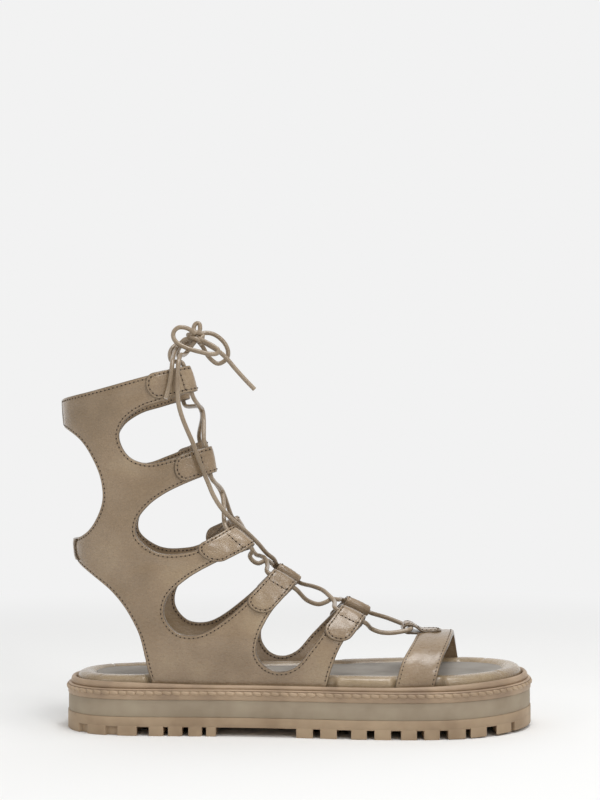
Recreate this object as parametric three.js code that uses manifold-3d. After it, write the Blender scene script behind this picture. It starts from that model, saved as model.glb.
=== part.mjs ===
// Gladiator sandal, right shoe: laced leather shaft on a chunky lugged sole.
// Millimetres. +X points to the toe, +Y to the inner (medial) side, +Z up.
// The origin is the middle of the shoe's footprint, on the floor.

import * as THREE from 'three';
import { mergeVertices } from 'three/addons/utils/BufferGeometryUtils.js';
import Module from 'manifold-3d';

const wasm = await Module();
wasm.setup();

// ---------- driving sizes ----------

const GAP = 0.3; // left between pieces that touch
const WALL = 2; // lined leather of the upper
const TAB_THICKNESS = 1.3; // turned-over end of each strap
const LACE_DIAMETER = 2.6;

const TOE_SPRING = { from: 62, to: 134, rise: 2 };
const OUTSOLE_TOP = 10.5;
const MIDSOLE_TOP = 20;
const WELT_TOP = 26;
const LUG_HEIGHT = 5.2;
const LUG_REACH = 17; // how far the side lugs run in from the edge
const GROOVE_WIDTH = 4; // channel between the side lugs and the middle bars
const BAR_PITCH = 15; // middle bars, heel to toe
const BAR_GAP = 5.5;
const ARCH = { from: -46.6, to: -2.2 }; // no lugs under the waist

const BEAD_WIDTH = 5.2; // from the sole's edge to the bead's inner foot
const UPPER_INSET = 6.15; // from the sole's edge to the upper's outer face
const FOOTBED_CROWN = { heel: 32.3, mid: 33.4 };
const SOCK_FLOOR = 30;
const SOCK_THICKNESS = 1.2;

const TUNNEL = { length: 10, height: 6.2, wall: 1.3 }; // flattened tube a lace runs through

const SIDE_STEPS = 24; // stations along each side of the sole
const FORM_STEPS = 32; // points around each section of the ankle form

// Sole outline seen from above, heel tip to toe tip: distances from y = 0.
const SOLE_OUTLINE = [
  { x: -134, lateral: 0, medial: 0 },
  { x: -129.5, lateral: 17, medial: 17 },
  { x: -117, lateral: 29.5, medial: 29.5 },
  { x: -98, lateral: 35, medial: 35 },
  { x: -70, lateral: 36.5, medial: 35 },
  { x: -35, lateral: 38, medial: 33.5 },
  { x: 0, lateral: 42, medial: 36.5 },
  { x: 32, lateral: 46.5, medial: 44 },
  { x: 62, lateral: 48, medial: 49.5 },
  { x: 88, lateral: 45.5, medial: 50 },
  { x: 109, lateral: 36.5, medial: 44.5 },
  { x: 124, lateral: 23, medial: 33 },
  { x: 132, lateral: 8, medial: 19 },
  { x: 134, lateral: -6, medial: 6 },
];

// Side notches between the lugs, along x. A shallow one only nicks the edge.
const NOTCHES = [
  { from: -124.5, to: -119.5, reach: 2.2 },
  { from: -107.6, to: -102.3, reach: 2.2 },
  { from: -90.3, to: -83.9, reach: LUG_REACH },
  { from: -75.8, to: -73.2, reach: LUG_REACH },
  { from: -65.3, to: -61.9, reach: LUG_REACH },
  { from: -54.3, to: -52, reach: LUG_REACH },
  { from: 7.1, to: 11, reach: LUG_REACH },
  { from: 20.2, to: 27.9, reach: LUG_REACH },
  { from: 36.5, to: 40.6, reach: LUG_REACH },
  { from: 49.7, to: 55.1, reach: LUG_REACH },
  { from: 63.8, to: 67.8, reach: LUG_REACH },
  { from: 76.4, to: 81, reach: LUG_REACH },
  { from: 90.9, to: 93.7, reach: LUG_REACH },
  { from: 103, to: 108.6, reach: LUG_REACH },
  { from: 118.8, to: 120.4, reach: 8 },
];

// Ankle and instep form: horizontal sections, rounded rectangles of one exponent.
const FORM_EXPONENT = 2.3;
const FORM = [
  { z: 24, back: -128, front: 118, half: 40 },
  { z: 42, back: -126.5, front: 104, half: 37.5 },
  { z: 55, back: -125, front: 84, half: 36 },
  { z: 64, back: -125.5, front: 50, half: 34 },
  { z: 70, back: -126, front: 35, half: 33 },
  { z: 83, back: -126.5, front: 8.5, half: 31.5 },
  { z: 91, back: -128, front: -5.5, half: 31 },
  { z: 104.5, back: -129.6, front: -19, half: 30.5 },
  { z: 114.6, back: -130, front: -34.5, half: 30 },
  { z: 130, back: -131.3, front: -40.5, half: 29.6 },
  { z: 146, back: -133, front: -44.5, half: 29.5 },
  { z: 161, back: -135, front: -47.5, half: 29.5 },
  { z: 176, back: -136.5, front: -51.5, half: 30 },
  { z: 192, back: -137.5, front: -55.5, half: 31 },
  { z: 206.5, back: -138, front: -60, half: 32 },
  { z: 214, back: -138.2, front: -62, half: 32.3 },
];
const FORM_LEVELS = [24, 34, 45, 56, 64, 73, 84, 95, 106, 118, 134, 152, 172, 192, 214];
const FOOT_BLEND = { from: 29, to: 56 }; // the sole's outline below turns into the ankle form above

// Side outline of the upper, round one half: x and z of each run.
const BACK_REACH = -146; // past the back of the form
const QUARTER_OUTLINE = [
  { curve: false, points: [[-83.4, 26.3], [-83, 30]] },
  { curve: true, points: [[-86.5, 42], [-90, 54.7], [-94.2, 63.3], [-99.8, 71.9], [-107, 79.7], [-118, 87.9],
    [-127, 93.5]] },
  { curve: false, points: [[-130, 95.9], [BACK_REACH, 96.5], [BACK_REACH, 107.5], [-128, 108.5]] },
  { curve: true, points: [[-120.2, 113], [-114.6, 120.6], [-111.2, 130.5], [-112, 141.5], [-116, 152],
    [-124, 164],
    [-136.2, 172.1]] },
  { curve: false, points: [[BACK_REACH, 173.5], [BACK_REACH, 187.6], [-137.4, 188]] },
  { curve: true, points: [[-118.9, 191.2], [-85.8, 200], [-63.6, 206.4]] },
  { curve: false, points: [[-59.1, 192.1]] },
  { curve: true, points: [[-76.7, 186.1], [-89.5, 181.3], [-98.5, 174], [-101.2, 165.6], [-96, 155.3],
    [-85.8, 151.2],
    [-72.8, 153.5], [-51.3, 161]] },
  { curve: false, points: [[-48.2, 146.3]] },
  { curve: true, points: [[-63.9, 140], [-76, 134], [-84.8, 127.5], [-91, 119], [-91.3, 110.5],
    [-80.2, 101.6],
    [-66.2, 100.8], [-55.2, 103.9], [-38.8, 114.6]] },
  { curve: false, points: [[-26, 104.5]] },
  { curve: true, points: [[-48.5, 95], [-63.9, 86.1], [-74.2, 76], [-75.8, 66], [-69.2, 57.4], [-60.8, 55.5],
    [-52.5, 57.4], [-33.1, 71.2], [-15, 90.8]] },
  { curve: false, points: [[-2, 83.2]] },
  { curve: true, points: [[-16.1, 68.2], [-23.6, 53], [-23.8, 44.5], [-18.5, 37.6], [-10.5, 35.4],
    [-2.5, 38.2],
    [5.8, 47.7], [12.9, 57], [23.2, 70.4]] },
  { curve: false, points: [[37.2, 63.9]] },
  { curve: true, points: [[28.5, 57.6], [22.4, 49.5], [17.5, 38], [14.3, 26.3]] },
];

// Strap ends: the fold's corners, the turned-over tab's length, and how steeply it runs back, in degrees.
const STRAP_ENDS = [
  { name: '1', upper: [-63.6, 206.4], lower: [-59.1, 192.1], tab: 25, lean: 14 },
  { name: '2', upper: [-51.3, 161], lower: [-48.2, 146.3], tab: 21.5, lean: 18 },
  { name: '3', upper: [-38.8, 114.6], lower: [-26, 104.5], tab: 24, lean: 26 },
  { name: '4', upper: [-15, 90.8], lower: [-2, 83.2], tab: 24.5, lean: 46 },
  { name: '5', upper: [23.2, 70.4], lower: [37.2, 63.9], tab: 18.5, lean: 48 },
];

// The inner half leans forward at the instep and back at the top, fading out at the heel.
// How the inner half's cut differs: shifts of x behind the cut-outs and at the strap ends,
// and the ends' rise.
const INNER_CUT = [
  { z: 26, rear: 0, front: 0, rise: 0 },
  { z: 35, rear: 0.3, front: 0, rise: 0 },
  { z: 45, rear: 0.7, front: 1.5, rise: 0 },
  { z: 60, rear: 0.9, front: 4.2, rise: 0.3 },
  { z: 70, rear: 0.5, front: 4.2, rise: 1 },
  { z: 83, rear: -1, front: 2.5, rise: -0.5 },
  { z: 91, rear: -2.5, front: 2.5, rise: 0.5 },
  { z: 104.5, rear: -4.5, front: -3, rise: -0.6 },
  { z: 114.6, rear: -5.3, front: 0.5, rise: 5.6 },
  { z: 130, rear: -6, front: -2, rise: 4.6 },
  { z: 146, rear: -7, front: -4, rise: 3.6 },
  { z: 161, rear: -8, front: -5, rise: 4.2 },
  { z: 176, rear: -7, front: -6, rise: 1 },
  { z: 192, rear: -4, front: -7, rise: -2.2 },
  { z: 206.5, rear: -3, front: -5, rise: -3 },
];
const CUT_FADE = { base: [0.05, 0.3], front: [0.5, 0.85], rise: [0.45, 0.85] }; // shares of the form's length

// Toe strap, an arch over the forefoot: x of its edges round the arch, 0 outer side to 180 inner side.
const TOE_STRAP = [
  { angle: 0, rear: 52, front: 74 },
  { angle: 30, rear: 56.5, front: 78.5 },
  { angle: 60, rear: 63.5, front: 84.5 },
  { angle: 90, rear: 68.4, front: 89 },
  { angle: 120, rear: 70.8, front: 92 },
  { angle: 150, rear: 73, front: 94.6 },
  { angle: 180, rear: 75, front: 97 },
];
const TOE_ARCH = { foot: 26.5, crest: 53.8, exponent: 2.3, steps: 30 };
const TOE_TAB = { reach: 13, width: 15, rise: 3.5 };

// The lace between one pair of loops and the next: the strand that leaves the outer loop, then the inner one.
const CROSSINGS = [
  [[[-56.8, 0, 180.9]], [[-56.8, 0, 182.3]]],
  [[[-45, 0, 134.7]], [[-45, 0, 133.3]]],
  [
    [[-28.6, -12.6, 98], [-26.4, -9.6, 94.9], [-23.8, -6, 93.7], [-21.6, -2.6, 94.4], [-19.4, 1, 94.9],
      [-16.8, 6.4, 93]],
    [[-26.8, 11.6, 98.8], [-25.2, 8, 97.6], [-22.6, 4, 97.2], [-19.9, -1.2, 95.8], [-18.8, -6.6, 92.8]],
  ],
  [
    [[4.2, -12.6, 73], [10.6, -7, 70.3], [15.5, -2.6, 71.3], [18.2, 1.2, 72.4], [22.5, 5.5, 71.8]],
    [[7.6, 11.4, 79], [12.9, 6, 77.4], [17.2, -0.8, 74.3], [19.6, -4.6, 71.9]],
  ],
];
// The lace between the last loops and the toe loop, outer strand then inner.
const TOE_LEADS = [
  [[41, -15.4, 57], [45.5, -14.9, 55.2], [51.5, -14, 54.6], [57.5, -13, 55.2]],
  [[51.1, 14, 60.3], [57.3, 13, 58]],
];

// Routes of the lace's free stretches, x y z.
const KNOT = { x: -60.2, y: -5, z: 223.8, radius: 3.9 };
const BOW_FRONT_LOOP = [
  [-60.2, -9, 225.4], [-63, -10.6, 227.8], [-66.6, -11.4, 229], [-69.8, -11.8, 228.7], [-72.2, -12, 226.2],
  [-72.2, -12.2, 222.8], [-69.9, -12.6, 219.8], [-64.1, -13, 216.9], [-57.2, -12.6, 214.9], [-50.7, -11.8, 213.7],
  [-47.4, -11.2, 214.2], [-46.8, -10.8, 216], [-49.7, -10.2, 218.4], [-54.2, -9.4, 220.9], [-58.2, -8, 223],
];
const BOW_BACK_LOOP = [
  [-58.6, -4, 225.6], [-55.6, -2.6, 226.6], [-52, -1.6, 226.6], [-48.2, -1, 225.1], [-43.9, -0.6, 221.2],
  [-41.8, -0.6, 216.7], [-42, -0.8, 213], [-44.3, -1, 210.2], [-47.7, -1.4, 209], [-51.2, -2, 211.2],
  [-53.9, -2.6, 214.4], [-56.2, -3.4, 218.7], [-58.6, -4.4, 221.6],
];
const BOW_TOP_LOOP = [
  [-60.6, -3, 226], [-61.6, -1.4, 229.6], [-60.4, -0.6, 232.2], [-58.6, -0.6, 232.4], [-57.8, -1.6, 229.4],
  [-58.6, -3, 226.2],
];
const LACE_TAIL = [
  [-59.4, -6, 223], [-55.6, -6.6, 221], [-50.4, -6.8, 218], [-46.2, -6.8, 215.3], [-42.3, -6.6, 211.7],
  [-37.3, -6.2, 205.8], [-31.9, -5.8, 199.8], [-26.1, -5.4, 193.8],
];
// From the top loops' mouths up to the knot.
const TOP_OUTER = [[-73, -15.5, 209.5], [-74.2, -8.2, 216], [-70.7, -4, 220], [-65, -2.8, 221]];
const TOP_INNER = [[-71, 10, 212], [-71, 3, 217], [-68.5, 0, 219.8], [-64, -0.2, 220.4]];
const LACE_SHORT = [
  [-66.1, -6.4, 222.6], [-68.8, -7.6, 219.9], [-70.9, -9.8, 216.6], [-71.6, -14.5, 213.6], [-71.6, -21, 211],
  [-71.5, -27, 208.4], [-71.7, -30, 203.6], [-72.4, -30.8, 198], [-73.4, -31.4, 192.6], [-74.8, -32.2, 187.2],
];
const LACE_LONG = [
  [-63.3, -7.9, 217.4], [-64.9, -9.2, 214.9], [-66.3, -14.2, 213], [-67.4, -21.8, 212.2], [-68, -28.2, 207.4],
  [-68.4, -30.4, 200], [-68.5, -30.5, 192], [-67.9, -30.2, 185], [-66.4, -29.4, 178.6], [-63.6, -28.4, 171],
  [-60, -27.6, 162.6], [-57.4, -27, 155], [-54.8, -26, 148], [-52, -24, 141], [-48.8, -21.6, 133],
  [-44.6, -18.8, 126], [-38.4, -14.4, 119], [-31.6, -7.6, 112.6], [-24.6, 0.2, 105.2], [-19.4, 7, 98.6],
  [-15.4, 11.4, 95],
];

// ---------- small helpers ----------

const vec = (x, y, z) => new THREE.Vector3(x, y, z);

const mix = (a, b, k) => a + (b - a) * k;

function smoothStep(from, to, value) {
  const k = Math.min(1, Math.max(0, (value - from) / (to - from)));
  return k * k * (3 - 2 * k);
}

// Smooth curve through one column of a table, read at a value of another.
function tableValue(rows, key, at, column) {
  if (at <= rows[0][key]) return rows[0][column];
  if (at >= rows.at(-1)[key]) return rows.at(-1)[column];
  const i = rows.findIndex((row) => row[key] > at) - 1;
  const slope = (j) => {
    const a = rows[Math.max(0, j - 1)];
    const b = rows[Math.min(rows.length - 1, j + 1)];
    return (b[column] - a[column]) / (b[key] - a[key]);
  };
  const step = rows[i + 1][key] - rows[i][key];
  const t = (at - rows[i][key]) / step;
  const t2 = t * t;
  const t3 = t2 * t;
  return (2 * t3 - 3 * t2 + 1) * rows[i][column] + (t3 - 2 * t2 + t) * step * slope(i)
    + (3 * t2 - 2 * t3) * rows[i + 1][column] + (t3 - t2) * step * slope(i + 1);
}

// ---------- solids ----------

// Rings of equal length, bottom to top, each counter-clockwise from above, with both ends capped by strips.
function loft(rings) {
  const count = rings[0].length;
  const half = count / 2;
  const positions = rings.flat(2);
  const index = [];
  for (let r = 0; r + 1 < rings.length; r += 1) {
    for (let i = 0; i < count; i += 1) {
      const a = r * count + i;
      const b = r * count + ((i + 1) % count);
      index.push(a, b, b + count, a, b + count, a + count);
    }
  }
  const cap = (base, up) => {
    for (let i = 0; i < half; i += 1) {
      const left = [base + i, base + i + 1];
      const right = [base + ((count - i) % count), base + count - i - 1];
      const faces = [[left[0], left[1], right[1]], [left[0], right[1], right[0]]];
      for (const [a, b, c] of faces) {
        if (a === b || b === c || a === c) continue;
        index.push(...(up ? [a, b, c] : [a, c, b]));
      }
    }
  };
  cap(0, false);
  cap((rings.length - 1) * count, true);
  const geometry = new THREE.BufferGeometry();
  geometry.setAttribute('position', new THREE.Float32BufferAttribute(positions, 3));
  geometry.setIndex(index);
  return toSolid(geometry);
}

function toSolid(geometry) {
  const bare = geometry.clone();
  bare.deleteAttribute('normal');
  bare.deleteAttribute('uv');
  const merged = mergeVertices(bare, 1e-4);
  return new wasm.Manifold(new wasm.Mesh({
    numProp: 3,
    vertProperties: new Float32Array(merged.attributes.position.array),
    triVerts: new Uint32Array(merged.index.array),
  }));
}

function toGeometry(solid) {
  const mesh = solid.getMesh();
  const geometry = new THREE.BufferGeometry();
  geometry.setAttribute('position', new THREE.BufferAttribute(mesh.vertProperties, 3));
  geometry.setIndex(new THREE.BufferAttribute(mesh.triVerts, 1));
  geometry.computeVertexNormals();
  return geometry;
}

function block(x, y, z) {
  const geometry = new THREE.BoxGeometry(x[1] - x[0], y[1] - y[0], z[1] - z[0]);
  geometry.translate((x[0] + x[1]) / 2, (y[0] + y[1]) / 2, (z[0] + z[1]) / 2);
  return toSolid(geometry);
}

// An outline in x and z, made a slab from one y to another.
function sidePrism(shape, yFrom, yTo) {
  const geometry = new THREE.ExtrudeGeometry(shape, {
    depth: yTo - yFrom, bevelEnabled: false, curveSegments: 2,
  });
  geometry.rotateX(Math.PI / 2);
  geometry.translate(0, yTo, 0);
  return toSolid(geometry);
}

function tube(points, diameter, steps) {
  const path = new THREE.CatmullRomCurve3(points, false, 'centripetal');
  const section = new THREE.Shape();
  section.absarc(0, 0, diameter / 2, 0, Math.PI * 2, false);
  const geometry = new THREE.ExtrudeGeometry(section, { steps, curveSegments: 4, extrudePath: path });
  return toSolid(geometry);
}

// ---------- sole ----------

const toeSpring = (x) => {
  const k = Math.max(0, (x - TOE_SPRING.from) / (TOE_SPRING.to - TOE_SPRING.from));
  return TOE_SPRING.rise * k * k;
};

const soleSide = (column, sign) => {
  const rows = SOLE_OUTLINE.slice(1, -1).map((row) => vec(row.x, sign * row[column], 0));
  return sign < 0 ? rows : rows.reverse();
};
const heelTip = vec(SOLE_OUTLINE[0].x, 0, 0);
const toeTip = vec(SOLE_OUTLINE.at(-1).x, SOLE_OUTLINE.at(-1).medial, 0);
const soleCurve = new THREE.CatmullRomCurve3(
  [heelTip, ...soleSide('lateral', -1), toeTip, ...soleSide('medial', 1)], true, 'centripetal');

const solePlan = (() => {
  const ring = [];
  for (let i = 0; i < 2 * SIDE_STEPS; i += 1) ring.push(soleCurve.getPoint(i / (2 * SIDE_STEPS)));
  return ring;
})();

// The sole's outline moved inwards, at one height above the local toe spring.
function soleRing(inset, z) {
  const count = solePlan.length;
  return solePlan.map((point, i) => {
    const next = solePlan[(i + 1) % count];
    const before = solePlan[(i + count - 1) % count];
    const along = next.clone().sub(before).normalize();
    const x = point.x - along.y * inset;
    const y = point.y + along.x * inset;
    const height = typeof z === 'function' ? z(x) : z;
    return [x, y, height + toeSpring(x)];
  });
}

const soleLoft = (profile) => loft(profile.map(({ inset, z }) => soleRing(inset, z)));

// Distance from y = 0 to the sole's edge, on one side (-1 outer, 1 inner).
function soleHalfWidth(x, side) {
  const count = solePlan.length;
  for (let i = 0; i < SIDE_STEPS; i += 1) {
    const a = side < 0 ? solePlan[i] : solePlan[(count - i) % count];
    const b = side < 0 ? solePlan[i + 1] : solePlan[count - i - 1];
    if (x >= a.x && x <= b.x && b.x > a.x) return Math.abs(mix(a.y, b.y, (x - a.x) / (b.x - a.x)));
  }
  return 0;
}

function makeOutsole() {
  let sole = soleLoft([
    { inset: 0.9, z: 0 },
    { inset: 0, z: 0.9 },
    { inset: 0, z: OUTSOLE_TOP - GAP / 2 },
  ]);
  const top = LUG_HEIGHT;
  const outer = soleLoft([{ inset: LUG_REACH, z: -1 }, { inset: LUG_REACH, z: top }]);
  const innerInset = LUG_REACH + GROOVE_WIDTH;
  const inner = soleLoft([{ inset: innerInset, z: -2 }, { inset: innerInset, z: top + 1 }]);
  sole = sole.subtract(outer.subtract(inner));
  sole = sole.subtract(block([ARCH.from, ARCH.to], [-60, 60], [-1, top]));
  for (const { from, to, reach } of NOTCHES) {
    const middle = (from + to) / 2;
    const ceiling = top + toeSpring(middle);
    for (const side of [-1, 1]) {
      const edge = side * (soleHalfWidth(middle, side) - reach);
      const y = side < 0 ? [-60, edge] : [edge, 60];
      sole = sole.subtract(block([from, to], y, [-1, ceiling]));
    }
  }
  const first = -112;
  for (let x = first; x < 112; x += BAR_PITCH) {
    if (x + BAR_GAP > ARCH.from && x < ARCH.to) continue;
    const reach = LUG_REACH + 1;
    const y = [-(soleHalfWidth(x, -1) - reach), soleHalfWidth(x, 1) - reach];
    sole = sole.subtract(block([x, x + BAR_GAP], y, [-1, top + toeSpring(x)]));
  }
  return sole;
}

function makeMidsole() {
  return soleLoft([
    { inset: 0.5, z: OUTSOLE_TOP + GAP / 2 },
    { inset: 0.5, z: MIDSOLE_TOP - GAP / 2 },
  ]);
}

// Welt band with the round bead standing on its outer edge, higher at heel and toe.
function makeWelt() {
  const bead = (share) => (x) => {
    const height = 2.2 + 1.5 * smoothStep(40, 120, Math.abs(x));
    return WELT_TOP + height * share;
  };
  return soleLoft([
    { inset: 0.4, z: MIDSOLE_TOP + GAP / 2 },
    { inset: 0, z: MIDSOLE_TOP + 1 },
    { inset: 0, z: WELT_TOP - 0.8 },
    { inset: 0.8, z: WELT_TOP },
    { inset: 1.6, z: bead(0) },
    { inset: 2.2, z: bead(0.85) },
    { inset: 3.4, z: bead(1) },
    { inset: 4.6, z: bead(0.85) },
    { inset: BEAD_WIDTH, z: WELT_TOP },
  ]);
}

// Padded footbed with a raised rim; the upper's feet pass down in slots at its edge.
function makeFootbed() {
  const base = WELT_TOP + GAP;
  const crown = (share) => (x) => {
    const top = mix(FOOTBED_CROWN.heel, FOOTBED_CROWN.mid, smoothStep(-110, -60, x));
    return mix(base, top, share);
  };
  const floor = SOCK_FLOOR;
  const edge = BEAD_WIDTH + GAP;
  let bed = soleLoft([
    { inset: edge + 0.3, z: base },
    { inset: edge, z: base + 1 },
    { inset: edge + 0.2, z: crown(0.6) },
    { inset: edge + 2, z: crown(0.9) },
    { inset: edge + 5.5, z: crown(1) },
    { inset: edge + 9.5, z: crown(0.82) },
    { inset: edge + 11.6, z: floor },
  ]);
  const slot = UPPER_INSET + WALL + 2;
  const insideToe = soleLoft([{ inset: slot, z: base - 2 }, { inset: slot, z: 45 }]);
  const insideQuarters = formSolid(-WALL - 2 * GAP);
  const feet = [
    { x: [-86, 19], y: [-60, 0], inside: insideQuarters },
    { x: [-86, 23], y: [0, 60], inside: insideQuarters },
    { x: [50.8, 80.5], y: [-60, 0], inside: insideToe },
    { x: [72.5, 99.5], y: [0, 60], inside: insideToe },
  ];
  for (const { x, y, inside } of feet) bed = bed.subtract(block(x, y, [base - 1, 40]).subtract(inside));
  return bed;
}

function makeSockLining() {
  const inset = BEAD_WIDTH + GAP + 12.2;
  return soleLoft([
    { inset, z: SOCK_FLOOR + GAP },
    { inset, z: SOCK_FLOOR + GAP + SOCK_THICKNESS * 0.6 },
    { inset: inset + 0.8, z: SOCK_FLOOR + GAP + SOCK_THICKNESS },
  ]);
}

// ---------- ankle form ----------

const formSection = (z) => ({
  back: tableValue(FORM, 'z', z, 'back'),
  front: tableValue(FORM, 'z', z, 'front'),
  half: tableValue(FORM, 'z', z, 'half'),
});

// Distance of the form's surface from y = 0 on one side.
function formHalfWidth(x, z, side) {
  const { back, front, half } = formSection(z);
  const share = Math.min(1, Math.abs(x - (back + front) / 2) / ((front - back) / 2));
  const ankle = half * (1 - share ** FORM_EXPONENT) ** (1 / FORM_EXPONENT);
  const foot = Math.max(0, soleHalfWidth(x, side) - UPPER_INSET);
  return mix(foot, ankle, smoothStep(FOOT_BLEND.from, FOOT_BLEND.to, z));
}

function formRing(z, offset) {
  const { back, front } = formSection(z);
  const plan = [];
  for (let i = 0; i < FORM_STEPS; i += 1) {
    const angle = (i / FORM_STEPS) * Math.PI * 2;
    const reach = Math.abs(Math.cos(angle)) ** (2 / FORM_EXPONENT) * Math.sign(Math.cos(angle));
    const x = (back + front) / 2 - ((front - back) / 2) * reach;
    const onAxis = i % (FORM_STEPS / 2) === 0;
    const side = i < FORM_STEPS / 2 ? -1 : 1;
    plan.push({ x, y: onAxis ? 0 : side * formHalfWidth(x, z, side) });
  }
  return plan.map((point, i) => {
    const next = plan[(i + 1) % FORM_STEPS];
    const before = plan[(i + FORM_STEPS - 1) % FORM_STEPS];
    const size = Math.hypot(next.x - before.x, next.y - before.y);
    const along = { x: (next.x - before.x) / size, y: (next.y - before.y) / size };
    return [point.x + along.y * offset, point.y - along.x * offset, z];
  });
}

const formSolid = (offset) => loft(FORM_LEVELS.map((z) => formRing(z, offset)));

// Outward direction of the form's surface.
function formNormal(x, z, side) {
  const d = 0.5;
  const slopeX = (formHalfWidth(x + d, z, side) - formHalfWidth(x - d, z, side)) / (2 * d);
  const slopeZ = (formHalfWidth(x, z + d, side) - formHalfWidth(x, z - d, side)) / (2 * d);
  return vec(-slopeX, side, -slopeZ).normalize();
}

const formPoint = (x, z, side) => vec(x, side * formHalfWidth(x, z, side), z);

// Where a point of the outer half's side view falls on the given half.
function sidePlace([x, z], side) {
  if (side < 0) return [x, z];
  const { back, front } = formSection(z);
  const share = (x - back) / (front - back);
  const column = (name) => tableValue(INNER_CUT, 'z', z, name);
  const shift = mix(column('rear'), column('front'), smoothStep(...CUT_FADE.front, share));
  return [
    x + shift * smoothStep(...CUT_FADE.base, share),
    z + column('rise') * smoothStep(...CUT_FADE.rise, share),
  ];
}

function quarterShape(side) {
  const shape = new THREE.Shape();
  QUARTER_OUTLINE.forEach(({ curve, points }, run) => {
    const placed = points.map((point) => new THREE.Vector2(...sidePlace(point, side)));
    if (run === 0) shape.moveTo(placed[0].x, placed[0].y);
    if (curve) shape.splineThru(placed);
    else for (const point of placed) shape.lineTo(point.x, point.y);
  });
  return shape;
}

// ---------- strap ends ----------

// The local frame of one strap end's tunnel: its middle, its axis (upwards), out of the leather, and back.
function tunnelFrame(end, side) {
  const upper = sidePlace(end.upper, side);
  const lower = sidePlace(end.lower, side);
  const top = formPoint(...upper, side);
  const bottom = formPoint(...lower, side);
  const fold = [(upper[0] + lower[0]) / 2, (upper[1] + lower[1]) / 2];
  const width = Math.hypot(upper[0] - lower[0], upper[1] - lower[1]);
  const back2d = [-(upper[1] - lower[1]) / width, (upper[0] - lower[0]) / width];
  const start = formPoint(...fold, side);
  let reach = 0;
  let middle = start;
  while (middle.distanceTo(start) < TUNNEL.length / 2) {
    reach += 0.1;
    middle = formPoint(fold[0] + back2d[0] * reach, fold[1] + back2d[1] * reach, side);
  }
  const normal = formNormal(middle.x, middle.z, side);
  const axis = top.sub(bottom).normalize();
  const out = normal.addScaledVector(axis, -normal.dot(axis)).normalize();
  const back = out.clone().cross(axis).multiplyScalar(side < 0 ? 1 : -1).normalize();
  return { fold, back2d, width, middle, axis, out, back };
}

// Places a solid made along x (back), y (out), z (axis) into a tunnel's frame.
function placeInFrame(geometry, frame, side) {
  const matrix = new THREE.Matrix4();
  const first = side < 0 ? frame.back : frame.back.clone().negate();
  matrix.makeBasis(first, frame.out, first.clone().cross(frame.out));
  matrix.setPosition(frame.middle);
  return toSolid(geometry.clone().applyMatrix4(matrix));
}

function flatTubeShape(length, height) {
  const r = height / 2;
  const straight = length / 2 - r;
  const shape = new THREE.Shape();
  shape.absarc(straight, 0, r, -Math.PI / 2, Math.PI / 2, false);
  shape.absarc(-straight, 0, r, Math.PI / 2, Math.PI * 1.5, false);
  return shape;
}

function flatTubeGeometry(inset, width) {
  const shape = flatTubeShape(TUNNEL.length - 2 * inset, TUNNEL.height - 2 * inset);
  const geometry = new THREE.ExtrudeGeometry(shape, {
    depth: width, bevelEnabled: false, curveSegments: 2,
  });
  geometry.translate(0, 0, -width / 2);
  return geometry;
}

const tabLayer = formSolid(GAP + TAB_THICKNESS).subtract(formSolid(GAP));

function makeLoop(end, side) {
  const frame = tunnelFrame(end, side);
  const { fold, back2d, width } = frame;
  const lean = (end.lean * Math.PI) / 180;
  const run = [-Math.cos(lean), -Math.sin(lean)];
  const across = [-back2d[1], back2d[0]];
  const at = (along, over) => [
    fold[0] + run[0] * along + across[0] * over,
    fold[1] + run[1] * along + across[1] * over,
  ];
  const half = width / 2;
  const shape = new THREE.Shape();
  shape.moveTo(...at(-2, -half));
  const round = 6;
  for (let i = 0; i <= round; i += 1) {
    const angle = -Math.PI / 2 + (Math.PI * i) / round;
    shape.lineTo(...at(end.tab - half * 0.8 + half * 0.8 * Math.cos(angle), half * Math.sin(angle)));
  }
  shape.lineTo(...at(-2, half));
  const slab = side < 0 ? sidePrism(shape, -60, 0) : sidePrism(shape, 0, 60);
  const front = new THREE.BoxGeometry(30, 40, 60).translate(-15, 0, 0);
  const ahead = placeInFrame(side < 0 ? front : front.translate(30, 0, 0), frame, side);
  const tab = tabLayer.intersect(slab).subtract(ahead);
  const outside = placeInFrame(flatTubeGeometry(0, width), frame, side);
  const hollow = placeInFrame(flatTubeGeometry(TUNNEL.wall, width + 20), frame, side);
  return outside.add(tab).subtract(hollow);
}

// ---------- upper ----------

function makeUpper() {
  const shell = formSolid(0).subtract(formSolid(-WALL));
  let upper = shell.intersect(sidePrism(quarterShape(-1), -60, 0.02)).add(
    shell.intersect(sidePrism(quarterShape(1), 0, 60)));
  for (const end of STRAP_ENDS) {
    for (const side of [-1, 1]) {
      const frame = tunnelFrame(end, side);
      const clearance = TUNNEL.length / 2 + GAP;
      const room = new THREE.BoxGeometry(clearance + 14, 26, frame.width + 12);
      room.translate(((side < 0 ? -1 : 1) * (14 - clearance)) / 2, 0, 0);
      upper = upper.subtract(placeInFrame(room, frame, side));
    }
  }
  // The cuts leave crumbs beside a fold, which the shoe doesn't have.
  return upper.decompose().sort((a, b) => b.volume() - a.volume())[0];
}

// ---------- toe strap ----------

const toeColumn = (angle, column) => tableValue(TOE_STRAP, 'angle', angle, column);

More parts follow.
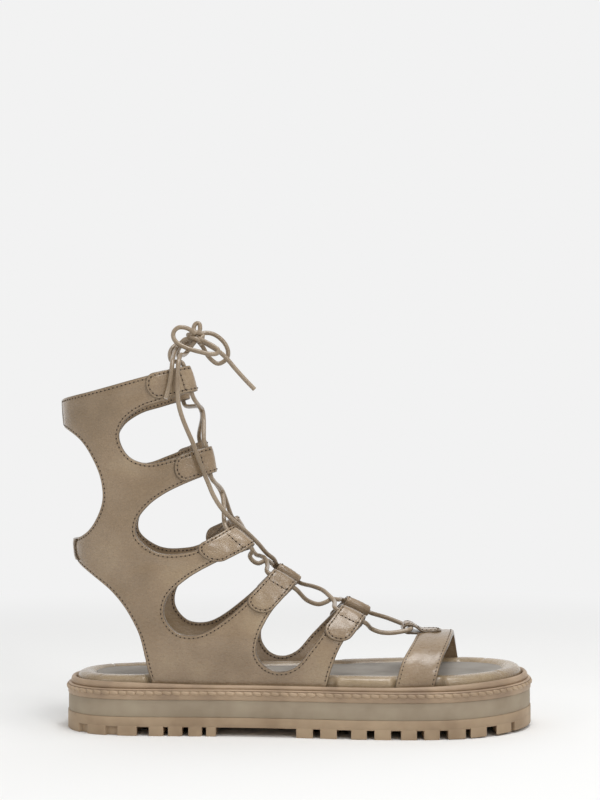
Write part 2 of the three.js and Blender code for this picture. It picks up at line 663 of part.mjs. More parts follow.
// A point of the toe arch at one angle, one share from rear edge to front edge, offset outwards.
function toePoint(angle, share, offset) {
  const x = mix(toeColumn(angle, 'rear'), toeColumn(angle, 'front'), share);
  const radians = (angle * Math.PI) / 180;
  const side = angle < 90 ? -1 : 1;
  const half = soleHalfWidth(x, side) - UPPER_INSET - GAP;
  const power = 2 / TOE_ARCH.exponent;
  const rise = TOE_ARCH.crest - TOE_ARCH.foot;
  const cosine = Math.cos(radians);
  const y = -Math.sign(cosine) * half * Math.abs(cosine) ** power;
  const z = TOE_ARCH.foot + toeSpring(x) + rise * Math.sin(radians) ** power;
  const flat = vec(
    0, -Math.sign(cosine) * Math.abs(cosine) ** (2 - power) / half, Math.sin(radians) ** (2 - power) / rise);
  const out = flat.normalize();
  return [x, y + out.y * offset, z + out.z * offset];
}

// A strip of the arch between two angles and two shares, between two offsets.
function toeStrip(angles, shares, offsets, steps) {
  const rings = [];
  const columns = 4;
  for (let i = 0; i <= steps; i += 1) {
    const angle = mix(angles[0], angles[1], i / steps);
    const ring = [];
    const edge = (offset, j) => toePoint(angle, mix(shares[0], shares[1], j / columns), offset);
    for (let j = columns; j >= 0; j -= 1) ring.push(edge(offsets[0], j));
    for (let j = 0; j <= columns; j += 1) ring.push(edge(offsets[1], j));
    rings.push(ring);
  }
  return loft(rings);
}

const toeTop = (() => {
  const [x, y, z] = toePoint(90, 0, 0);
  return { x, y, z };
})();
const toeTunnel = { x: toeTop.x - TUNNEL.length / 2 + 0.5, z: toeTop.z - WALL / 2 + TOE_TAB.rise };

function makeToeStrap() {
  const strap = toeStrip([0, 180], [0, 1], [-WALL, 0], TOE_ARCH.steps);
  const rear = toeTunnel.x + TUNNEL.length / 2 + GAP;
  const tabHalf = TOE_TAB.width / 2 + GAP;
  return strap.subtract(block([rear - 14, rear], [-tabHalf, tabHalf], [40, 70]));
}

function makeToeLoop() {
  const across = (geometry) => toSolid(geometry.rotateX(Math.PI / 2).translate(toeTunnel.x, 0, toeTunnel.z));
  const layer = toeStrip([50, 130], [-0.5, 1], [GAP, GAP + TAB_THICKNESS], 12);
  const half = TOE_TAB.width / 2;
  const round = half * 0.8;
  const end = toeTunnel.x + TUNNEL.length / 2 + TOE_TAB.reach;
  const outline = new THREE.Shape();
  outline.moveTo(toeTunnel.x, -half);
  outline.lineTo(end - round, -half);
  outline.absellipse(end - round, 0, round, half, -Math.PI / 2, Math.PI / 2, false);
  outline.lineTo(toeTunnel.x, half);
  const column = new THREE.ExtrudeGeometry(outline, { depth: 40, bevelEnabled: false, curveSegments: 6 });
  column.translate(0, 0, 40);
  return across(flatTubeGeometry(0, TOE_TAB.width))
    .add(layer.intersect(toSolid(column)))
    .subtract(across(flatTubeGeometry(TUNNEL.wall, TOE_TAB.width + 4)));
}

// ---------- lace ----------

// A point on one tunnel's axis: 1 is its upper mouth, -1 its lower mouth, and `past` goes beyond.
function onTunnel(end, side, mouth, past) {
  const { middle, axis, width } = tunnelFrame(end, side);
  return middle.clone().addScaledVector(axis, mouth * (width / 2 + past));
}

// The crossed lace: straight through each tunnel, free from mouth to mouth, one body with its crossings.
function makeCrossedLace() {
  const lead = 2.4;
  const pieces = [];
  const strand = (points, steps) => pieces.push(tube(points, LACE_DIAMETER, steps));
  const straight = (from, to) => pieces.push(tube([from, to], LACE_DIAMETER + 0.15, 1));
  for (const side of [-1, 1]) {
    STRAP_ENDS.forEach((end, i) => {
      straight(onTunnel(end, side, 1, 1), onTunnel(end, side, -1, 1));
      const next = STRAP_ENDS[i + 1];
      if (!next) return;
      strand([
        onTunnel(end, side, -1, 0), onTunnel(end, side, -1, lead),
        ...route(CROSSINGS[i][side < 0 ? 0 : 1]),
        onTunnel(next, -side, 1, lead), onTunnel(next, -side, 1, 0),
      ], i < 2 ? 7 : 14);
    });
    const first = STRAP_ENDS[0];
    const rise = route(side < 0 ? TOP_OUTER : TOP_INNER);
    strand([onTunnel(first, side, 1, 0), onTunnel(first, side, 1, lead), ...rise], 8);
    const last = STRAP_ENDS.at(-1);
    const half = TOE_TAB.width / 2;
    strand([
      onTunnel(last, side, -1, 0), onTunnel(last, side, -1, lead), ...route(TOE_LEADS[side < 0 ? 0 : 1]),
      vec(toeTunnel.x - 1.6, side * (half + 4), toeTunnel.z - 0.4),
      vec(toeTunnel.x, side * (half - 1), toeTunnel.z),
    ], 8);
  }
  const mouth = TOE_TAB.width / 2 + 1;
  straight(vec(toeTunnel.x, -mouth, toeTunnel.z), vec(toeTunnel.x, mouth, toeTunnel.z));
  return pieces.reduce((whole, piece) => whole.add(piece));
}

const route = (rows) => rows.map((row) => vec(...row));

function makeBow() {
  const knot = new THREE.SphereGeometry(KNOT.radius, 10, 6);
  knot.scale(1, 1.25, 0.95);
  knot.translate(KNOT.x, KNOT.y, KNOT.z);
  return toSolid(knot)
    .add(tube(route(BOW_FRONT_LOOP), LACE_DIAMETER, 15))
    .add(tube(route(BOW_BACK_LOOP), LACE_DIAMETER, 13))
    .add(tube(route(BOW_TOP_LOOP), LACE_DIAMETER, 7))
    .add(tube(route(LACE_TAIL), LACE_DIAMETER, 6));
}

// ---------- the shoe ----------

const leather = { color: 0x9b876c, roughness: 0.42 };
const lining = { color: 0x8c7458, roughness: 0.7 };
const rubber = { color: 0xa48b70, roughness: 0.6 };
const foam = { color: 0x968876, roughness: 0.75 };
const sock = { color: 0x9a938c, roughness: 0.8 };
const cord = { color: 0x9f8d76, roughness: 0.5 };

const shoe = new THREE.Group();
const built = new THREE.Group();
shoe.add(built);

function addNode(name, solid, { color, roughness }) {
  const material = new THREE.MeshStandardMaterial({ color, roughness, metalness: 0 });
  const mesh = new THREE.Mesh(toGeometry(solid), material);
  mesh.name = name;
  built.add(mesh);
}

addNode('outsole', makeOutsole(), rubber);
addNode('midsole', makeMidsole(), foam);
addNode('welt', makeWelt(), rubber);
addNode('footbed', makeFootbed(), leather);
addNode('sock_lining', makeSockLining(), sock);
addNode('upper', makeUpper(), lining);
addNode('toe_strap', makeToeStrap(), leather);
for (const end of STRAP_ENDS) {
  addNode(`loop_outer_${end.name}`, makeLoop(end, -1), leather);
  addNode(`loop_inner_${end.name}`, makeLoop(end, 1), leather);
}
addNode('loop_toe', makeToeLoop(), leather);
addNode('lace_crossed', makeCrossedLace(), cord);
addNode('lace_bow', makeBow(), cord);
addNode('lace_short', tube(route(LACE_SHORT), LACE_DIAMETER, 24), cord);
addNode('lace_long', tube(route(LACE_LONG), LACE_DIAMETER, 26), cord);

// The footprint's middle comes to the origin; the lace's loose stretches don't count in it.
const LOOSE = ['lace_bow', 'lace_short', 'lace_long'];
const box = new THREE.Box3();
for (const mesh of built.children) {
  if (!LOOSE.includes(mesh.name)) box.expandByObject(mesh);
}
built.position.set(-(box.min.x + box.max.x) / 2, -(box.min.y + box.max.y) / 2, 0);

export default shoe;
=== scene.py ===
import math

import bpy
import numpy as np
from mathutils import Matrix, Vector, geometry

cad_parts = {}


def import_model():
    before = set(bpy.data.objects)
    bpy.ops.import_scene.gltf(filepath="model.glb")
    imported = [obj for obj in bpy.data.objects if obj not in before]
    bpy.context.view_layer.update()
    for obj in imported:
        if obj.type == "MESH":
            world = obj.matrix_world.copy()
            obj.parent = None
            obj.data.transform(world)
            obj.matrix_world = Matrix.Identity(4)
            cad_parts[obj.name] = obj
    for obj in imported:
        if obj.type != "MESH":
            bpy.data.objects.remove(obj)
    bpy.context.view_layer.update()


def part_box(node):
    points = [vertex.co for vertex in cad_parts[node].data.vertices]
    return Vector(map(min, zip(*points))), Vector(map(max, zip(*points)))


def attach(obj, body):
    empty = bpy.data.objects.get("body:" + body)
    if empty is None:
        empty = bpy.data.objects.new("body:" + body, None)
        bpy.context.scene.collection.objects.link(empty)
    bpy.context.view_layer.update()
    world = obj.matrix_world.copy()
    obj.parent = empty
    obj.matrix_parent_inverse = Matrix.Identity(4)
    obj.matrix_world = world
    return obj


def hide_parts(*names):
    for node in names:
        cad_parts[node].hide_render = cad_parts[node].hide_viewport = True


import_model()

MM = 0.001

# ---------- the sandal's own sizes, in millimetres ----------

WALL = 2.0  # lined leather of the upper
TAB_THICKNESS = 1.25  # turned-over strap ends
EDGE_ROUND = 0.6  # finished leather edges
LACE_DIAMETER = 2.6
STITCH_PITCH = 2.5
STITCH_INSET = 1.6  # stitching runs this far from the leather's edge
EDGE_RINGS = (0.2, 0.6, 1.15, 1.65, 2.2)  # rows of mesh points along a leather edge
FLAP_WAY = 4.4  # the lace's tunnel lies this far behind a strap's fold
SOLE_MEETS_UPPER = 26.3  # height where the leather goes into the sole
TOE_SIDE_GAP = 0.3

TOE_SPRING = {"from": 62.0, "to": 134.0, "rise": 2.0}
UPPER_INSET = 6.15
LUG_REACH = 17.0
LUG_TOP = 5.6
BARS = {"first": -112, "count": 17, "pitch": 15.0, "gap": 5.5, "inset": 21.0, "shortest": 4}

SOLE_OUTLINE = [  # x, outer side, inner side
    (-134, 0, 0), (-129.5, 17, 17), (-117, 29.5, 29.5), (-98, 35, 35), (-70, 36.5, 35), (-35, 38, 33.5),
    (0, 42, 36.5), (32, 46.5, 44), (62, 48, 49.5), (88, 45.5, 50), (109, 36.5, 44.5), (124, 23, 33),
    (132, 8, 19), (134, -6, 6),
]
NOTCHES = [  # from, to, reach inwards
    (-124.5, -119.5, 2.2), (-107.6, -102.3, 2.2), (-90.3, -83.9, LUG_REACH), (-75.8, -73.2, LUG_REACH),
    (-65.3, -61.9, LUG_REACH), (-54.3, -52, LUG_REACH), (-46.6, -2.2, LUG_REACH), (7.1, 11, LUG_REACH),
    (20.2, 27.9, LUG_REACH), (36.5, 40.6, LUG_REACH), (49.7, 55.1, LUG_REACH), (63.8, 67.8, LUG_REACH),
    (76.4, 81, LUG_REACH), (90.9, 93.7, LUG_REACH), (103, 108.6, LUG_REACH), (118.8, 120.4, 8),
]

FORM_EXPONENT = 2.3
FORM = [  # z, back, front, half width
    (24, -128, 118, 40), (42, -126.5, 104, 37.5), (55, -125, 84, 36), (64, -125.5, 50, 34),
    (70, -126, 35, 33),
    (83, -126.5, 8.5, 31.5), (91, -128, -5.5, 31), (104.5, -129.6, -19, 30.5), (114.6, -130, -34.5, 30),
    (130, -131.3, -40.5, 29.6), (146, -133, -44.5, 29.5), (161, -135, -47.5, 29.5), (176, -136.5, -51.5, 30),
    (192, -137.5, -55.5, 31), (206.5, -138, -60, 32), (214, -138.2, -62, 32.3),
]
FOOT_BLEND = (29, 56)

# Side outline of one half, in runs between corners: x and z.
HEEL_EDGE = [(-83.4, 26.3), (-83, 30), (-86.5, 42), (-90, 54.7), (-94.2, 63.3), (-99.8, 71.9), (-107, 79.7),
             (-118, 87.9), (-127, 93.9), (-131, 96.2)]
BACK_WINDOW = [(-131, 108.2), (-128, 108.5), (-120.2, 113), (-114.6, 120.6), (-111.2, 130.5), (-112, 141.5),
               (-116, 152), (-124, 164), (-136.2, 172.1), (-140, 173.3)]
TOP_EDGE = [(-140, 187.6), (-137.4, 188), (-118.9, 191.2), (-85.8, 200), (-63.6, 206.4)]
WINDOWS = [
    [(-59.1, 192.1), (-76.7, 186.1), (-89.5, 181.3), (-98.5, 174), (-101.2, 165.6), (-96, 155.3),
     (-85.8, 151.2),
     (-72.8, 153.5), (-51.3, 161)],
    [(-48.2, 146.3), (-63.9, 140), (-76, 134), (-84.8, 127.5), (-91, 119), (-91.3, 110.5), (-80.2, 101.6),
     (-66.2, 100.8), (-55.2, 103.9), (-38.8, 114.6)],
    [(-26, 104.5), (-48.5, 95), (-63.9, 86.1), (-74.2, 76), (-75.8, 66), (-69.2, 57.4), (-60.8, 55.5),
     (-52.5, 57.4), (-33.1, 71.2), (-15, 90.8)],
    [(-2, 83.2), (-16.1, 68.2), (-23.6, 53), (-23.8, 44.5), (-18.5, 37.6), (-10.5, 35.4), (-2.5, 38.2),
     (5.8, 47.7), (12.9, 57), (23.2, 70.4)],
]
FOOT_FRONT = [(37.2, 63.9), (28.5, 57.6), (22.4, 49.5), (17.5, 38), (14.3, 26.3)]
STRAP_ENDS = [  # upper corner, lower corner, tab length and how steeply it runs back, in the side view
    ((-63.6, 206.4), (-59.1, 192.1), 25, 14), ((-51.3, 161), (-48.2, 146.3), 21.5, 18),
    ((-38.8, 114.6), (-26, 104.5), 24, 26), ((-15, 90.8), (-2, 83.2), 24.5, 46),
    ((23.2, 70.4), (37.2, 63.9), 18.5, 48),
]
TUNNEL_LENGTH = 10.0
INNER_CUT = [  # z, then the inner half's shift of x behind the windows, at the strap ends, and the ends' rise
    (26, 0, 0, 0), (35, 0.3, 0, 0), (45, 0.7, 1.5, 0), (60, 0.9, 4.2, 0.3), (70, 0.5, 4.2, 1),
    (83, -1, 2.5, -0.5),
    (91, -2.5, 2.5, 0.5), (104.5, -4.5, -3, -0.6), (114.6, -5.3, 0.5, 5.6), (130, -6, -2, 4.6),
    (146, -7, -4, 3.6),
    (161, -8, -5, 4.2), (176, -7, -6, 1), (192, -4, -7, -2.2), (206.5, -3, -5, -3),
]
CUT_FADE = {"base": (0.05, 0.3), "front": (0.5, 0.85), "rise": (0.45, 0.85)}  # shares of the form's length

TOE_STRAP = [  # angle round the arch, rear edge, front edge
    (0, 52, 74), (30, 56.5, 78.5), (60, 63.5, 84.5), (90, 68.4, 89), (120, 70.8, 92), (150, 73, 94.6),
    (180, 75, 97),
]
TOE_ARCH = {"foot": 26.5, "crest": 53.8, "exponent": 2.3}
TOE_TAB_WIDTH = 15.0

CROSSINGS = [  # between the pairs of loops: the strand that leaves the outer loop, then the inner one
    ([(-56.8, 0.5, 180.4)], [(-56.8, -0.5, 182.8)]),
    ([(-45, 0.5, 135.2)], [(-45, -0.5, 132.8)]),
    ([(-28.6, -12.6, 98), (-26.4, -9.6, 94.9), (-23.8, -6, 93.7), (-21.6, -2.6, 94.4), (-19.4, 1, 94.9),
      (-16.8, 6.4, 93)],
     [(-26.8, 11.6, 98.8), (-25.2, 8, 97.6), (-22.6, 4, 97.2), (-19.9, -1.2, 95.8), (-18.8, -6.6, 92.8)]),
    ([(4.2, -12.6, 73), (10.6, -7, 70.3), (15.5, -2.6, 71.3), (18.2, 1.2, 72.4), (22.5, 5.5, 71.8)],
     [(7.6, 11.4, 79), (12.9, 6, 77.4), (17.2, -0.8, 74.3), (19.6, -4.6, 71.9)]),
]
TOE_LEADS = {  # from the last loops to the toe loop
    -1: [(41, -15.4, 57), (45.5, -14.9, 55.2), (51.5, -14, 54.6), (57.5, -13, 55.2)],
    1: [(51.1, 14, 60.3), (57.3, 13, 58)],
}

LACE_LEADS = {"upper": 2.4, "lower": 1.4}  # straight lace outside a loop, on the upper and lower straps
KNOT = (-60.2, -5, 223.8)
BOW_FRONT_LOOP = [
    (-60.2, -9, 225.4), (-63, -10.6, 227.8), (-66.6, -11.4, 229), (-69.8, -11.8, 228.7), (-72.2, -12, 226.2),
    (-72.2, -12.2, 222.8), (-69.9, -12.6, 219.8), (-64.1, -13, 216.9), (-57.2, -12.6, 214.9),
    (-50.7, -11.8, 213.7),
    (-47.4, -11.2, 214.2), (-46.8, -10.8, 216), (-49.7, -10.2, 218.4), (-54.2, -9.4, 220.9), (-58.2, -8, 223),
]
BOW_BACK_LOOP = [
    (-58.6, -4, 225.6), (-55.6, -2.6, 226.6), (-52, -1.6, 226.6), (-48.2, -1, 225.1), (-43.9, -0.6, 221.2),
    (-41.8, -0.6, 216.7), (-42, -0.8, 213), (-44.3, -1, 210.2), (-47.7, -1.4, 209), (-51.2, -2, 211.2),
    (-53.9, -2.6, 214.4), (-56.2, -3.4, 218.7), (-58.6, -4.4, 221.6),
]
BOW_TOP_LOOP = [
    (-60.6, -3, 226), (-61.6, -1.4, 229.6), (-60.4, -0.6, 232.2), (-58.6, -0.6, 232.4), (-57.8, -1.6, 229.4),
    (-58.6, -3, 226.2),
]
LACE_TAIL = [
    (-59.4, -6, 223), (-55.6, -6.6, 221), (-50.4, -6.8, 218), (-46.2, -6.8, 215.3), (-42.3, -6.6, 211.7),
    (-37.3, -6.2, 205.8), (-31.9, -5.8, 199.8), (-26.1, -5.4, 193.8),
]
TOP_ENDS = {  # from the top loops' mouths up to the knot
    -1: [(-73, -15.5, 209.5), (-74.2, -8.2, 216), (-70.7, -4, 220), (-65, -2.8, 221), (-61.5, -4, 222.6)],
    1: [(-71, 10, 212), (-71, 3, 217), (-68.5, 0, 219.8), (-64, -0.2, 220.4), (-60.8, -3, 222.4)],
}
LACE_SHORT = [
    (-66.1, -6.4, 222.6), (-68.8, -7.6, 219.9), (-70.9, -9.8, 216.6), (-71.6, -14.5, 213.6),
    (-71.6, -21, 211),
    (-71.5, -27, 208.4), (-71.7, -30, 203.6), (-72.4, -30.8, 198), (-73.4, -31.4, 192.6),
    (-74.8, -32.2, 187.2),
]
LACE_LONG = [
    (-63.3, -7.9, 217.4), (-64.9, -9.2, 214.9), (-66.3, -14.2, 213), (-67.4, -21.8, 212.2),
    (-68, -28.2, 207.4),
    (-68.4, -30.4, 200), (-68.5, -30.5, 192), (-67.9, -30.2, 185), (-66.4, -29.4, 178.6), (-63.6, -28.4, 171),
    (-60, -27.6, 162.6), (-57.4, -27, 155), (-54.8, -26, 148), (-52, -24, 141), (-48.8, -21.6, 133),
    (-44.6, -18.8, 126), (-38.4, -14.4, 119), (-31.6, -7.6, 112.6), (-24.6, 0.2, 105.2), (-19.4, 7, 98.6),
    (-15.4, 11.4, 95),
]


# ---------- curves and tables ----------

def smooth_step(low, high, value):
    k = np.clip((value - low) / (high - low), 0, 1)
    return k * k * (3 - 2 * k)


def read_table(rows, column, at):
    """Smooth curve through one column of a table, against its first column."""
    xs = np.array([row[0] for row in rows], float)
    ys = np.array([row[column] for row in rows], float)
    slopes = np.empty_like(ys)
    slopes[1:-1] = (ys[2:] - ys[:-2]) / (xs[2:] - xs[:-2])
    slopes[0] = (ys[1] - ys[0]) / (xs[1] - xs[0])
    slopes[-1] = (ys[-1] - ys[-2]) / (xs[-1] - xs[-2])
    at = np.clip(at, xs[0], xs[-1])
    i = np.clip(np.searchsorted(xs, at, side="right") - 1, 0, len(xs) - 2)
    step = xs[i + 1] - xs[i]
    t = (at - xs[i]) / step
    return ((2 * t**3 - 3 * t**2 + 1) * ys[i] + (t**3 - 2 * t**2 + t) * step * slopes[i]
            + (3 * t**2 - 2 * t**3) * ys[i + 1] + (t**3 - t**2) * step * slopes[i + 1])


def through(points, per_span, closed=False):
    """Centripetal curve through points, sampled evenly in each span."""
    pts = np.array(points, float)
    if closed:
        ext = np.vstack([pts[-1:], pts, pts[:2]])
    else:
        ext = np.vstack([2 * pts[:1] - pts[1:2], pts, 2 * pts[-1:] - pts[-2:-1]])
    out = []
    for p0, p1, p2, p3 in zip(ext[:-3], ext[1:-2], ext[2:-1], ext[3:]):
        d0, d1, d2 = (max(np.linalg.norm(b - a), 1e-6) ** 0.5 for a, b in ((p0, p1), (p1, p2), (p2, p3)))
        t1 = ((p1 - p0) / d0 - (p2 - p0) / (d0 + d1) + (p2 - p1) / d1) * d1
        t2 = ((p2 - p1) / d1 - (p3 - p1) / (d1 + d2) + (p3 - p2) / d2) * d1
        t = np.arange(per_span)[:, None] / per_span
        out.append((2 * t**3 - 3 * t**2 + 1) * p1 + (t**3 - 2 * t**2 + t) * t1
                   + (3 * t**2 - 2 * t**3) * p2 + (t**3 - t**2) * t2)
    if not closed:
        out.append(pts[-1:])
    return np.vstack(out)


def lengths(points):
    return np.concatenate([[0], np.cumsum(np.linalg.norm(np.diff(points, axis=0), axis=1))])


def evenly(points, spacing, closed=False):
    """The same line with points a steady distance apart."""
    pts = np.vstack([points, points[:1]]) if closed else np.asarray(points)
    run = lengths(pts)
    count = max(3, int(round(run[-1] / spacing)))
    at = np.linspace(0, run[-1], count + 1)
    new = np.stack([np.interp(at, run, pts[:, k]) for k in range(pts.shape[1])], 1)
    return new[:-1] if closed else new


# ---------- the last: sole plan and ankle form ----------

def toe_spring(x):
    k = np.clip((x - TOE_SPRING["from"]) / (TOE_SPRING["to"] - TOE_SPRING["from"]), 0, None)
    return TOE_SPRING["rise"] * k * k


def sole_plan():
    outer = [(x, -lateral) for x, lateral, _ in SOLE_OUTLINE[1:-1]]
    inner = [(x, medial) for x, _, medial in reversed(SOLE_OUTLINE[1:-1])]
    tip = SOLE_OUTLINE[-1]
    return through([(SOLE_OUTLINE[0][0], 0), *outer, (tip[0], tip[2]), *inner], 12, closed=True)


PLAN = evenly(sole_plan(), 1.0, closed=True)
BOX_LOW, BOX_HIGH = (np.array(corner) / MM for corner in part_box("outsole"))
SHIFT = np.array([
    BOX_LOW[0] - PLAN[:, 0].min(),
    (BOX_LOW[1] + BOX_HIGH[1]) / 2 - (PLAN[:, 1].min() + PLAN[:, 1].max()) / 2,
    0.0,
])


def world(points):
    """From the sandal's millimetres to the row frame, in metres."""
    return (np.asarray(points, float) + SHIFT) * MM


def inset_plan(inset, spacing=1.5):
    ring = evenly(PLAN, spacing, closed=True)
    along = np.roll(ring, -1, 0) - np.roll(ring, 1, 0)
    along /= np.linalg.norm(along, axis=1)[:, None]
    return ring + np.stack([-along[:, 1], along[:, 0]], 1) * inset


def plan_half(side):
    """The sole's half width against x, on one side. The outer side reaches a little over the middle."""
    points = PLAN[PLAN[:, 1] > 0] if side > 0 else PLAN[PLAN[:, 1] < 2]
    order = np.argsort(points[:, 0])
    return points[order, 0], np.abs(points[order, 1])


HALF_PLAN = {side: plan_half(side) for side in (-1, 1)}


def sole_half(x, side):
    xs, ys = HALF_PLAN[side]
    return np.interp(x, xs, ys)


def form_section(z, side, count=360):
    """One side of a horizontal section of the form, back to front."""
    back, front, half = (float(read_table(FORM, k, z)) for k in (1, 2, 3))
    angle = np.linspace(0, math.pi, count)
    reach = np.sign(np.cos(angle)) * np.abs(np.cos(angle)) ** (2 / FORM_EXPONENT)
    x = (back + front) / 2 - (front - back) / 2 * reach
    ankle = half * np.clip(np.abs(np.sin(angle)), 0, 1) ** (2 / FORM_EXPONENT)
    foot = np.clip(sole_half(x, side) - UPPER_INSET, 0, None)
    share = smooth_step(*FOOT_BLEND, z)
    y = foot * (1 - share) + ankle * share
    y[0] = 0
    return x, side * y


class Wall:
    """One side of the form unrolled: a is the way round from the back seam, z the height."""

    STEP = 0.5
    LOW = 24.0

    def __init__(self, side):
        self.side = side
        self.levels = np.arange(self.LOW, 214.01, 1.0)
        self.reach = np.arange(0, 210.01, self.STEP)
        grid = []
        for z in self.levels:
            x, y = form_section(z, side)
            run = lengths(np.stack([x, y], 1))
            grid.append(np.stack([np.interp(self.reach, run, x), np.interp(self.reach, run, y),
                                  np.full_like(self.reach, z)], 1))
        self.points = np.array(grid)
        along = np.gradient(self.points, axis=1)
        up = np.gradient(self.points, axis=0)
        out = np.cross(along, up) * (1 if side < 0 else -1)
        out[:, 0, 1] = 0
        size = np.linalg.norm(out, axis=2)
        out[size < 1e-9] = (1, 0, 0)
        self.out = out / np.maximum(np.linalg.norm(out, axis=2), 1e-9)[:, :, None]

    def read(self, grid, a, z):
        i = np.clip((z - self.LOW), 0, len(self.levels) - 1.001)
        j = np.clip(a / self.STEP, 0, len(self.reach) - 1.001)
        i0, j0 = i.astype(int), j.astype(int)
        u, v = (i - i0)[:, None], (j - j0)[:, None]
        return ((grid[i0, j0] * (1 - v) + grid[i0, j0 + 1] * v) * (1 - u)
                + (grid[i0 + 1, j0] * (1 - v) + grid[i0 + 1, j0 + 1] * v) * u)

    def place(self, a, z, offset):
        out = self.read(self.out, a, z)
        out /= np.linalg.norm(out, axis=1)[:, None]
        return self.read(self.points, a, z) + out * np.asarray(offset)[..., None]

    def unroll(self, points):
        """Side view x and z to a and z."""
        points = np.asarray(points, float)
        i = np.clip(points[:, 1] - self.LOW, 0, len(self.levels) - 1.001)
        low = i.astype(int)
        share = i - low
        result = np.empty(len(points))
        for level in np.unique(low):
            mine = low == level
            near = np.interp(points[mine, 0], self.points[level, :, 0], self.reach)
            far = np.interp(points[mine, 0], self.points[level + 1, :, 0], self.reach)
            result[mine] = near * (1 - share[mine]) + far * share[mine]
        return np.stack([result, points[:, 1]], 1)


WALLS = {side: Wall(side) for side in (-1, 1)}


def side_place(points, side):
    """Where points of the outer half's side view fall on the given half."""
    pts = np.array(points, float)
    if side < 0:
        return pts
    x, z = pts[:, 0], pts[:, 1]
    back, front = read_table(FORM, 1, z), read_table(FORM, 2, z)
    share = (x - back) / (front - back)
    rear, ahead, rise = (read_table(INNER_CUT, k, z) for k in (1, 2, 3))
    shift = rear + (ahead - rear) * smooth_step(*CUT_FADE["front"], share)
    return np.stack([x + shift * smooth_step(*CUT_FADE["base"], share),
                     z + rise * smooth_step(*CUT_FADE["rise"], share)], 1)


# ---------- making meshes ----------

def deselect():
    for item in bpy.context.selected_objects:
        item.select_set(False)


def make_object(name, vertices, faces):
    mesh = bpy.data.meshes.new(name)
    mesh.from_pydata([tuple(v) for v in vertices], [], [tuple(f) for f in faces])
    mesh.validate()
    item = bpy.data.objects.new(name, mesh)
    bpy.context.scene.collection.objects.link(item)
    mesh.polygons.foreach_set("use_smooth", [True] * len(mesh.polygons))
    return item


def stacked(count, rings, base=0, ends=True):
    """Faces round a stack of rings of points, closed at both ends."""
    faces = []
    for ring in range(rings - 1):
        for k in range(count):
            a, b = base + ring * count + k, base + ring * count + (k + 1) % count
            faces.append((a, b, b + count, a + count))
    if ends:
        faces.append(tuple(base + k for k in reversed(range(count))))
        faces.append(tuple(base + (rings - 1) * count + k for k in range(count)))
    return faces


def settle(item, slot, *nodes):
    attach(item, "root")
    if nodes:
        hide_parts(*nodes)
    return item


def edge_distance(points, loops):
    """Distance of each flat point to the nearest outline."""
    best = np.full(len(points), 1e9)
    for loop in loops:
        a = loop
        b = np.roll(loop, -1, 0)
        ab = b - a
        size = np.maximum((ab**2).sum(1), 1e-12)
        for start in range(0, len(points), 4000):
            p = points[start:start + 4000]
            t = np.clip(((p[:, None] - a[None]) * ab[None]).sum(2) / size[None], 0, 1)
            near = a[None] + t[:, :, None] * ab[None]
            d = np.sqrt(((p[:, None] - near) ** 2).sum(2)).min(1)
            best[start:start + 4000] = np.minimum(best[start:start + 4000], d)
    return best


def inside(points, loops):
    """Even-odd test against all outlines together."""
    hit = np.zeros(len(points), bool)
    for loop in loops:
        x1, y1 = loop[:, 0], loop[:, 1]
        x2, y2 = np.roll(x1, -1), np.roll(y1, -1)
        for start in range(0, len(points), 4000):
            px = points[start:start + 4000, 0][:, None]
            py = points[start:start + 4000, 1][:, None]
            spans = (y1[None] > py) != (y2[None] > py)
            slope = np.where(y2 == y1, 1e-12, y2 - y1)
            cross = px < (x2 - x1)[None] * (py - y1[None]) / slope[None] + x1[None]
            hit[start:start + 4000] ^= (spans & cross).sum(1) % 2 == 1
    return hit


def loop_inset(loop, distance):
    """An outline moved to its left side, which is the inside of a counter-clockwise one."""
    along = np.roll(loop, -1, 0) - np.roll(loop, 1, 0)
    along /= np.maximum(np.linalg.norm(along, axis=1), 1e-9)[:, None]
    return loop + np.stack([-along[:, 1], along[:, 0]], 1) * distance


def cut_leather(loops, spacing, rings):
    """A flat cut of leather filled with triangles: points, triangles, distance to its edge."""
    points = [np.vstack(loops)]
    for distance in rings:
        for loop in loops:
            ring = loop_inset(loop, distance)
            keep = edge_distance(ring, loops) > distance * 0.93
            points.append(ring[keep])
    low = np.vstack(loops).min(0)
    high = np.vstack(loops).max(0)
    rows = np.arange(low[1], high[1], spacing * 0.866)
    grid = []
    for k, y in enumerate(rows):
        xs = np.arange(low[0] + (k % 2) * spacing / 2, high[0], spacing)
        grid.append(np.stack([xs, np.full_like(xs, y)], 1))
    grid = np.vstack(grid)
    grid = grid[inside(grid, loops)]
    grid = grid[edge_distance(grid, loops) > rings[-1] + spacing * 0.55]
    points = np.vstack(points + [grid])
    edges = []
    start = 0
    for loop in loops:
        edges += [(start + i, start + (i + 1) % len(loop)) for i in range(len(loop))]
        start += len(loop)
    flat, _, faces, *_ = geometry.delaunay_2d_cdt([Vector(p) for p in points], edges, [], 0, 1e-5)
    flat = np.array([tuple(p) for p in flat])
    faces = np.array([f for f in faces if len(f) == 3])
    faces = faces[inside(flat[faces].mean(1), loops)]
    a, b, c = (flat[faces[:, k]] for k in range(3))
    turn = (b[:, 0] - a[:, 0]) * (c[:, 1] - a[:, 1]) - (b[:, 1] - a[:, 1]) * (c[:, 0] - a[:, 0])
    faces[turn < 0] = faces[turn < 0][:, ::-1]
    faces = faces[np.abs(turn) > 1e-7]
    return flat, faces, edge_distance(flat, loops)


def rim_of(faces):
    """Edges that only one triangle has, in that triangle's direction."""
    seen = {}
    for a, b, c in faces:
        for edge in ((a, b), (b, c), (c, a)):
            seen[edge] = True
    return [(a, b) for a, b in seen if (b, a) not in seen]


